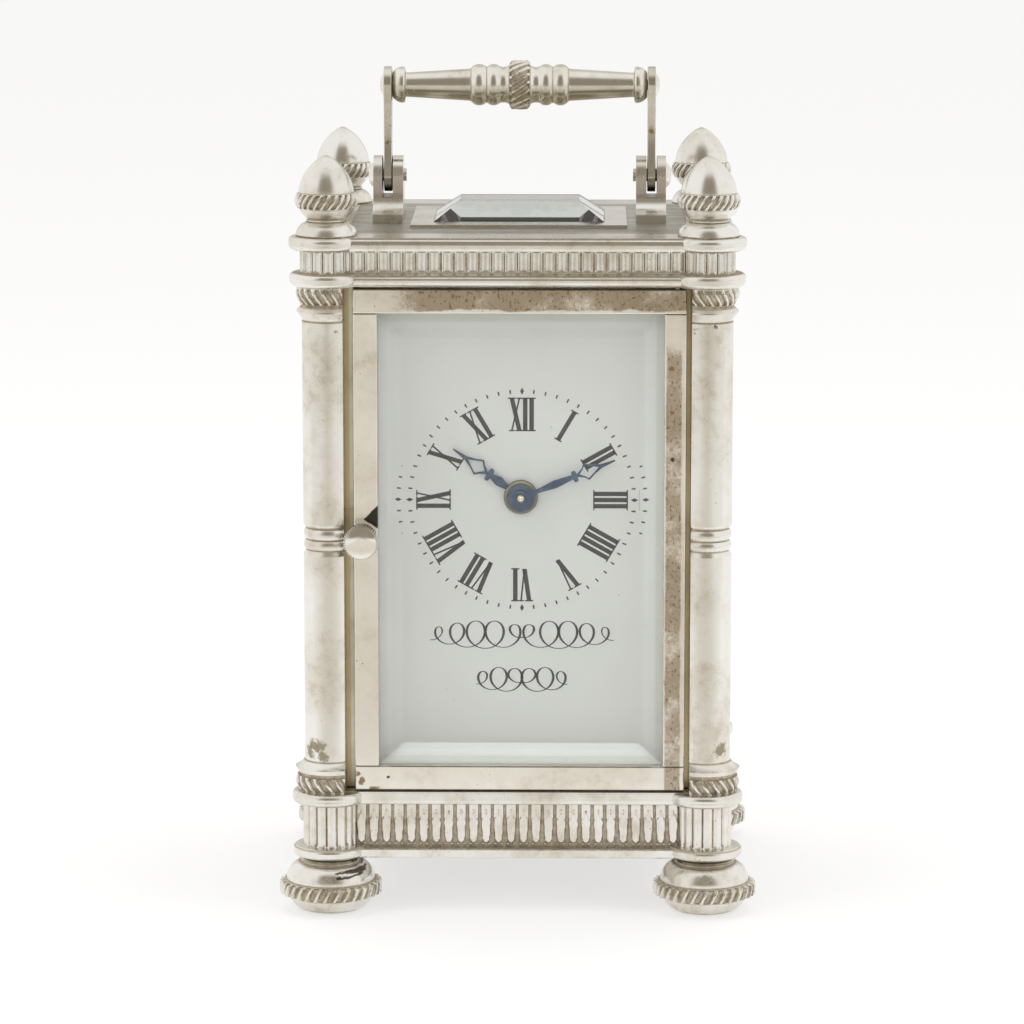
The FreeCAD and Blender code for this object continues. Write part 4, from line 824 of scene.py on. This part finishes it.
def side_places():
    """The four sides, as (length, function from along, reach beyond the column axes and height to points)."""
    def facing(side, axis):
        def place(along, reach, height):
            if axis == "y":
                return np.stack([-side * along, side * (COLUMN_Y + reach), height], -1)
            return np.stack([side * (COLUMN_X + reach), side * along, height], -1)
        return place
    return [(2 * COLUMN_X, facing(-1, "y")), (2 * COLUMN_X, facing(1, "y")), (2 * COLUMN_Y, facing(-1, "x")),
            (2 * COLUMN_Y, facing(1, "x"))]


def lobes(build, outline, relief):
    for _, side_x, side_y in CORNERS:
        lathe(build, sampled(outline), (side_x * COLUMN_X, side_y * COLUMN_Y, 0), segments=ROUND, relief=relief)


def base():
    """Base casting: flat fascias above and below a frieze of leaves, round lobes at the corners."""
    z0, z1 = FOOT_TOP + 0.5, BASE_TOP
    low, high = z0 + 1.7, z1 - 2.3
    build = Build()
    lobes(build, [(0.01, z0), (5.7, z0), (6.5, z0 + 0.3, 6.65, z0 + 1.0), (6.5, z0 + 1.7, 5.8, low + 0.3),
            (4.85, low + 0.32), (4.85, high - 0.02), (5.9, high), (6.55, high + 0.35, 6.7, high + 1.15),
            (6.55, z1 - 0.3, 5.9, z1 - 0.02), (0.01, z1 - 0.02)],
            stacked(reeds(low + 0.3, high, LOBE_REEDS, 0.75), grooves([low, high], 0.3)))
    inner = -6.5
    for length, place in side_places():
        run(build, [(inner, z0), (3.2, z0), (3.4, z0 + 0.2), (3.4, low - 0.3), (3.15, low - 0.08), (1.0, low),
                (inner, low)], length, place)
        run(build, [(inner, high), (2.9, high), (3.25, high + 0.1), (3.4, high + 0.3), (3.4, z1 - 0.35),
                (3.1, z1), (inner, z1)], length, place)
        panel(build, (low, low + 0.9), 1.0, inner, length, place, lambda along,
                height: (0 * along, 0 * along + 0.8))
        panel(build, (low + 0.88, high), 1.6, inner, length, place, leaves(low + 0.88, high, PITCH, 0.6))
        count = int((length - 10) / (PITCH / 2))
        for i in range(count + 1):
            bead(build, place, (i - count / 2) * PITCH / 2, low + 0.46)
    block(build, (-27.1, -21.6, 17.8), (27.1, 21.6, z1 - 0.06), 0.05)
    build.make("base_cast", [SILVER], "root", "aged_silver", ["base"], sharp=40)


def bead(build, place, along, height, radius=0.27, reach=1.12):
    """Half-round bead on a straight face."""
    rings = [(radius, 0.0), (radius * 0.75, radius * 0.75), (0.0, radius)]
    points, faces = [], []
    for size, out in rings[:2]:
        for i in range(8):
            angle = math.pi * i / 4
            points.append(place(along + size * math.cos(angle), reach + out, height + size * math.sin(angle)))
    points.append(place(along, reach + radius, height))
    for i in range(8):
        j = (i + 1) % 8
        faces += [(i, j, 8 + j, 8 + i), (8 + i, 8 + j, 16)]
    build.add([np.array(p, float) for p in points], faces, [0.9] * 8 + [0.35] * 8 + [0.1])


def cornice():
    """Cornice casting: ovolo, fluted frieze and torus, open in the middle with a seat for the top plate."""
    z0, z1 = COLUMN_TOP, CORNICE_TOP
    low, high = z0 + 2.5, z1 - 2.4
    build = Build()
    lobes(build, [(0.01, z0 + 0.02), (5.4, z0 + 0.02), (6.3, z0 + 0.4, 6.58, z0 + 1.3),
            (6.4, low - 0.3, 5.8, low), (4.75, low + 0.02), (4.75, high - 0.02), (5.9, high),
            (6.5, high + 0.35, 6.72, high + 1.2), (6.5, z1 - 0.3, 5.9, z1 - 0.03), (0.01, z1 - 0.03)],
            stacked(hollows(low, high, LOBE_REEDS, 0.42), grooves([low, high], 0.3)))
    seat = plate_low[2]
    backs = [(-4.2, plate_high[1] + 0.05 - COLUMN_Y)] * 2 + [(-4.7, plate_high[0] + 0.05 - COLUMN_X)] * 2
    for (length, place), (inner, rim) in zip(side_places(), backs):
        run(build, [(inner, z0), (2.2, z0), (3.2, z0 + 0.15), (4.15, z0 + 0.6, 4.5, z0 + 1.35), (4.5, z0 + 1.6),
                (4.35, z0 + 1.85), (3.6, low - 0.2), (3.2, low), (inner, low)], length, place)
        run(build, [(inner, high), (4.1, high), (4.7, high + 0.1), (5.06, high + 1.0, 4.8, high + 2.0),
                (4.62, high + 2.08), (4.62, z1 - 0.1), (4.55, z1), (4.25, z1), (4.22, z1 - 0.3),
                (4.0, z1 - 0.3), (3.97, z1), (rim, z1), (rim, seat), (inner, seat)], length, place)
        panel(build, (low, high), 2.4, inner, length, place, flutes(low, high, PITCH, 0.5))
    build.make("cornice_cast", [SILVER], "root", "aged_silver", ["cornice"], sharp=40)


# ======== doors
def door(front):
    """Door frame: full-width rails, stiles between them and a fine chamfer round the window."""
    (left, face, bottom), (right, back, top) = door_low, door_high
    lap, rebate, joint = 1.25, 1.3, 0.05      # frame over glass, step behind the window, gap between the bars
    window = (pane_low[0] + lap, pane_high[0] - lap, pane_low[2] + lap, pane_high[2] - lap)
    seat = pane_high[1] - 1.15
    build = Build()

    def bar(x0, x1, z0, z1, near=face, far=seat, bevel=0.18):
        low, high = ((x0, near, z0), (x1, far, z1)) if front else ((-x1, -far, z0), (-x0, -near, z1))
        block(build, low, high, bevel)

    def backing(x0, x1, z0, z1):
        bar(x0, x1, z0, z1, seat - 0.05, back, 0.05)

    bar(left, right, bottom, window[2])
    bar(left, right, window[3], top)
    bar(left, window[0], window[2] + joint, window[3] - joint)
    bar(window[1], right, window[2] + joint, window[3] - joint)
    inner = (window[0] - rebate, window[1] + rebate, window[2] - rebate, window[3] + rebate)
    back_right = right - 0.8
    backing(left, back_right, bottom, inner[2])
    backing(left, back_right, inner[3], top)
    backing(left, inner[0], inner[2], inner[3])
    backing(inner[1], back_right, inner[2], inner[3])
    side = "front" if front else "rear"
    build.make(side + "_door_frame_joined", [DOOR_SILVER], side + "_door", "satin_frame",
            [side + "_door_frame"], sharp=15)


def milled(count, depth, edge):
    """Fine serrations round the rim of a knob."""
    def relief(angle, along, radius):
        rim = np.clip((radius - edge) / 0.12, 0, 1)
        tooth = np.abs(np.sin(count * angle / 2)) ** 0.6
        return radius - depth * (1 - tooth) * rim, (1 - tooth) * rim * 0.9
    return relief


def knob(front):
    """Milled knob with a slightly domed, polished face, on its collar and spindle."""
    face = knob_low[1]
    outline = [(0.01, 0.0), (1.6, 0.07, KNOB_R - 0.45, 0.30), (KNOB_R - 0.2, 0.36), (KNOB_R, 0.62),
            (KNOB_R, 2.5), (KNOB_R - 0.2, 2.85), (KNOB_R - 0.5, 3.3), (1.75, 3.4), (1.7, 3.6), (1.7, 4.35),
            (0.9, 4.36), (0.9, knob_high[1] - face), (0.01, knob_high[1] - face)]
    points = sampled(outline, 0.1)
    turn, side = 1, "front"
    if not front:
        points = (points * np.array([1, -1]))[::-1]
        turn, side = -1, "rear"
    turned(side + "_door_knob_milled", points, (turn * KNOB_X, turn * face, KNOB_Z), KNOB_SILVER,
            side + "_latch", "aged_silver", [side + "_door_knob"], direction="y", segments=320,
            relief=milled(40, 0.36, KNOB_R - 0.42))


# ======== handle
def grip():
    """Turned grip: a rope band in the middle, two beads and a taper each side, and round end knobs."""
    half = [(4.0, 1.8), (3.6, 1.87), (3.3, 2.4, 3.3, 3.5), (3.4, 3.7), (3.73, 4.75, 3.3, 5.85), (3.25, 5.95),
            (3.3, 6.1), (3.73, 7.3, 3.2, 8.65), (2.95, 8.8), (2.88, 9.3), (2.2, 20.4), (2.3, 20.6), (3.1, 20.7),
            (3.27, 20.95), (2.9, 22.3, 2.2, GRIP_END - 0.02), (0.01, GRIP_END - 0.01)]
    right = sampled([(GRIP_R, 0.0), (GRIP_R - 0.01, 1.4)] + half, 0.12)
    left = right[::-1] * np.array([1, -1])
    outline = np.concatenate([left[:-1], right])
    dark = grooves([-5.95, 5.95, -20.6, 20.6, -8.75, 8.75, -1.9, 1.9], 0.22)
    turned("handle_grip_turned", outline, (0, 0, GRIP_Z), GRIP_SILVER, "handle", "aged_silver", ["handle_grip"],
            direction="x", segments=240, relief=stacked(rope(-1.78, 1.78, 17, 1.6, 0.5, 0.42), dark))


# ======== dial print
PRINT_X, PRINT_Z = DIAL_X + 0.2, DIAL_Z - 0.7
PRINT_WIDE, PRINT_TALL = 1.035, 1.01      # the ring of numerals is a little wider than it is tall


class Print:
    """Flat shapes laid on the dial, in millimetres from the centre arbor: x to the right, z up."""

    def __init__(self, surface, thick=0.03):
        self.build = Build()
        self.surface = surface
        self.thick = thick

    def shape(self, points, turn=0.0, shift=(0.0, 0.0)):
        """Flat polygon, turned clockwise by an angle in radians about its origin after the shift."""
        c, s = math.cos(turn), math.sin(turn)
        placed = []
        for x, z in points:
            x, z = x + shift[0], z + shift[1]
            placed.append((PRINT_X + PRINT_WIDE * (x * c + z * s), PRINT_Z + PRINT_TALL * (z * c - x * s)))
        count = len(placed)
        front = [(x, self.surface - self.thick, z) for x, z in placed]
        back = [(x, self.surface + 0.02, z) for x, z in placed]
        faces = [tuple(range(count)), tuple(range(2 * count - 1, count - 1, -1))]
        faces += [(i, i + count, (i + 1) % count + count, (i + 1) % count) for i in range(count)]
        self.build.add(front + back, faces)

    def stroke(self, points, widths):
        """Pen line through points with a width at each."""
        points = np.array(points, float)
        tangent = np.gradient(points, axis=0)
        normal = np.stack([-tangent[:, 1], tangent[:, 0]], -1)
        normal /= np.maximum(np.linalg.norm(normal, axis=1, keepdims=True), 1e-9)
        half = normal * np.array(widths)[:, None] / 2
        for i in range(len(points) - 1):
            self.shape([points[i] - half[i], points[i + 1] - half[i + 1], points[i + 1] + half[i + 1],
                    points[i] + half[i]])


NUMERAL_IN, NUMERAL_OUT = 12.4, 18.15
THICK, THIN = 0.78, 0.24
LETTER_WIDTH = {"I": 1.10, "V": 2.3, "X": 2.2}
NUMERALS = ["XII", "I", "II", "III", "IIII", "V", "VI", "VII", "VIII", "IX", "X", "XI"]


def letter(ink, kind, x, turn):
    """One Roman letter, its base at the inner ring and its middle at x."""
    low, high = NUMERAL_IN, NUMERAL_OUT
    half = LETTER_WIDTH[kind] / 2 - 0.45

    def leg(bottom, top, width):
        w = width / 2
        ink.shape([(bottom - w, low), (bottom + w, low), (top + w, high), (top - w, high)], turn, (x, 0))

    def serif(middle, level, width):
        ink.shape([(middle - width / 2, level - THIN / 2), (middle + width / 2, level - THIN / 2),
                (middle + width / 2, level + THIN / 2), (middle - width / 2, level + THIN / 2)], turn, (x, 0))

    if kind == "I":
        leg(0, 0, THICK)
        serif(0, low, 1.42)
        serif(0, high, 1.42)
    elif kind == "V":
        leg(0.12, -half, THICK)
        leg(0.12, half, THIN * 1.2)
        serif(-half, high, 1.45)
        serif(half, high, 1.0)
    else:
        leg(half, -half, THICK)
        leg(-half, half, THIN * 1.2)
        for level, wide, narrow in ((high, -half, half), (low, half, -half)):
            serif(wide, level, 1.35)
            serif(narrow, level, 1.0)


def dial_print():
    """Roman numerals, minute dashes with lozenges at the quarters, and a plain scroll below the centre."""
    ink = Print(DIAL_FACE)
    for hour, text in enumerate(NUMERALS):
        widths = [LETTER_WIDTH[kind] for kind in text]
        x = -sum(widths) / 2
        for kind, width in zip(text, widths):
            letter(ink, kind, x + width / 2, math.radians(30 * hour))
            x += width
    for minute in range(60):
        turn = math.radians(6 * minute)
        if minute % 15 == 0:
            ink.shape([(0, 18.75), (0.34, 19.4), (0, 20.05), (-0.34, 19.4)], turn)
        else:
            ink.shape([(-0.12, 19.0), (0.12, 19.0), (0.15, 19.7), (-0.15, 19.7)], turn)
    scroll(ink)
    ink.build.make("dial_print", [INK], "root", "enamel")


def scroll(ink):
    """Two lines of looping pen work, mirrored about the middle."""
    for level, reach, loops, tall in ((-24.3, 16.4, 5, 2.5), (-32.4, 8.2, 3, 2.2)):
        for side in (-1, 1):
            turn = np.linspace(0, 1, 60 * loops)
            swell = tall * (0.35 + 0.65 * np.sin(math.pi * (0.18 + 0.80 * turn)))
            angle = 2 * math.pi * loops * turn - math.pi / 2
            x = side * (reach * turn * 0.97 + 0.95 * swell * (np.cos(angle)) * np.clip(turn * 9, 0, 1))
            z = level + swell * np.sin(angle) * np.clip(0.25 + turn * 6, 0, 1)
            slope = np.abs(np.gradient(z)) / np.hypot(np.gradient(x), np.gradient(z))
            ink.stroke(np.stack([x, z], -1), 0.13 + 0.30 * slope ** 2 * np.clip((1.02 - turn) * 5, 0, 1))


def collets():
    """Bronze collet of the hour hand, blued boss of the minute hand and end of the centre arbor."""
    hour_face, minute_face = span("hour_hand")[0][1], span("minute_hand")[0][1]
    ring = [(1.65, 0.0), (3.0, 0.0), (3.05, -0.06), (2.9, -0.22), (2.6, -0.28), (1.65, -0.28), (1.65, 0.0)]
    boss = [(0.66, 0.0), (1.5, 0.0), (1.45, -0.18), (1.2, -0.32), (0.8, -0.36), (0.66, -0.3), (0.66, 0.0)]
    tip = [(0.01, 0.05), (0.56, 0.05), (0.56, -0.42), (0.42, -0.62, 0.01, -0.7)]
    for name, outline, pitch, face, around, material, body, slot in (
            ("hour_hand_collet", ring, 0.2, hour_face, 96, BRONZE, "hour_train", "brass"),
            ("minute_hand_boss", boss, 0.1, minute_face, 96, BLUED, "minute_train", "blued_steel"),
            ("centre_arbor_tip", tip, 0.06, minute_face, 64, KNOB_SILVER, "centre", "steel")):
        turned(name, sampled(outline, pitch)[::-1], (DIAL_X, face, DIAL_Z), material, body, slot, direction="y",
                segments=around)


# ======== assembly of the looks
LOOKS = [
    (PLATE_SILVER, "top_plate"), (SILVER, "top_glass_bezel handle_pins handle_screws"),
    (GLASS, "side_glass_left side_glass_right"), (DOOR_GLASS, "front_door_glass rear_door_glass"),
    (TOP_GLASS, "top_glass"), (ENAMEL, "dial"), (BLUED, "minute_hand hour_hand"),
    (BRASS, "front_plate back_plate plate_pillars mainspring_barrel intermediate_wheel centre_wheel third_wheel"
            " contrate_wheel platform escape_wheel balance_wheel balance_cock minute_wheel hour_wheel"),
    (STEEL, "door_hinge_pins front_latch rear_latch case_and_plate_screws ratchet_wheel click barrel_arbor"
            " pallet_lever cannon_pinion"),
    (SPRING_STEEL, "mainspring hairspring")]
for look, names in LOOKS:
    for node_name in names.split():
        painted = nodes[node_name].data.materials
        painted.clear()
        painted.append(look)

for corner, sx, sy in CORNERS:
    foot(corner, sx * COLUMN_X, sy * COLUMN_Y)
    finial(corner, sx * COLUMN_X, sy * COLUMN_Y)
    column(corner, sx, sy)
base()
cornice()
for is_front in (True, False):
    door(is_front)
    knob(is_front)
grip()
for hand_side in ("left", "right"):
    rounded_copy("handle_arm_" + hand_side, ARM_SILVER, "handle", "aged_silver")
    rounded_copy("handle_clevis_" + hand_side, FORK_SILVER, "root", "aged_silver")
dial_print()
collets()


# ======== stage, light and camera
# Metres, watts, millimetres of lens and degrees.
AIM = (0, 0, 0.07)
LAMPS = [("key", (-0.60, -0.40, 0.55), (0.5, 0.5), 0.75), ("fill", (0.65, -0.30, 0.35), (0.45, 0.6), 0.75),
        ("top", (0.0, 0.10, 0.85), (0.7, 0.7), 1.5), ("front", (0.0, -1.0, 0.32), (0.6, 0.4), 2.4)]
REAR_GAP = 0.45          # darkness of the gap up the back, as a share of the one up the front
SENSOR, LENS = 36.0, 162.4
CAMERA_PLACE = (0.01193, -0.83394, 0.21216)
CAMERA_DOWN, CAMERA_TURN = 9.85, 0.917


def stage():
    bpy.ops.mesh.primitive_plane_add(size=16.0, location=(0, 0, 0))
    floor = bpy.context.object
    floor.name = "floor"
    floor.data.materials.append(floor_material())


def softbox(name, place, size, power):
    """Area lamp aimed at the clock. Neither the camera nor a reflection sees it."""
    data = bpy.data.lights.new(name, "AREA")
    data.shape = "RECTANGLE"
    data.size, data.size_y = size
    data.energy = power
    lamp = linked(bpy.data.objects.new(name, data))
    lamp.location = place
    lamp.visible_glossy = False
    lamp.visible_camera = False
    away = np.array(place) - np.array(AIM)
    lamp.rotation_euler = (math.atan2(math.hypot(away[0], away[1]), away[2]), 0,
            math.atan2(away[1], away[0]) + math.pi / 2)


def surroundings():
    """White tent with a darker, warmer gap up the front and a fainter one up the back, for the silver to show.

    The camera itself sees plain white."""
    s = Shader(bpy.data.worlds.new("tent"))
    bpy.context.scene.world = s.owner
    way = s.node("SeparateXYZ", {0: s.node("TexCoord").outputs["Generated"]}).outputs
    level = s.maths("SQRT", s.minus(1.0001, s.maths("POWER", s.size(way["Z"]), 2)))
    forward = s.maths("DIVIDE", way["Y"], level)
    gap = s.strongest(s.ramp(forward, -0.76, -0.93), s.times(s.ramp(forward, 0.88, 0.97), REAR_GAP))
    gap = s.times(gap, s.ramp(way["Z"], 0.97, 0.75), s.unseen())
    tone = s.blend(gap, (1.0, 0.995, 0.985), (0.30, 0.265, 0.21))
    s.finish(s.node("Background", {"Color": tone}), "OutputWorld")


def camera():
    data = bpy.data.cameras.new("camera")
    data.sensor_width, data.lens = SENSOR, LENS
    made = linked(bpy.data.objects.new("camera", data))
    made.location = CAMERA_PLACE
    made.rotation_euler = (math.radians(90 - CAMERA_DOWN), 0, math.radians(CAMERA_TURN))
    bpy.context.scene.camera = made


stage()
surroundings()
for lamp_name, lamp_place, lamp_size, lamp_power in LAMPS:
    softbox(lamp_name, lamp_place, lamp_size, lamp_power)
camera()
bpy.context.scene.view_settings.view_transform = "Standard"
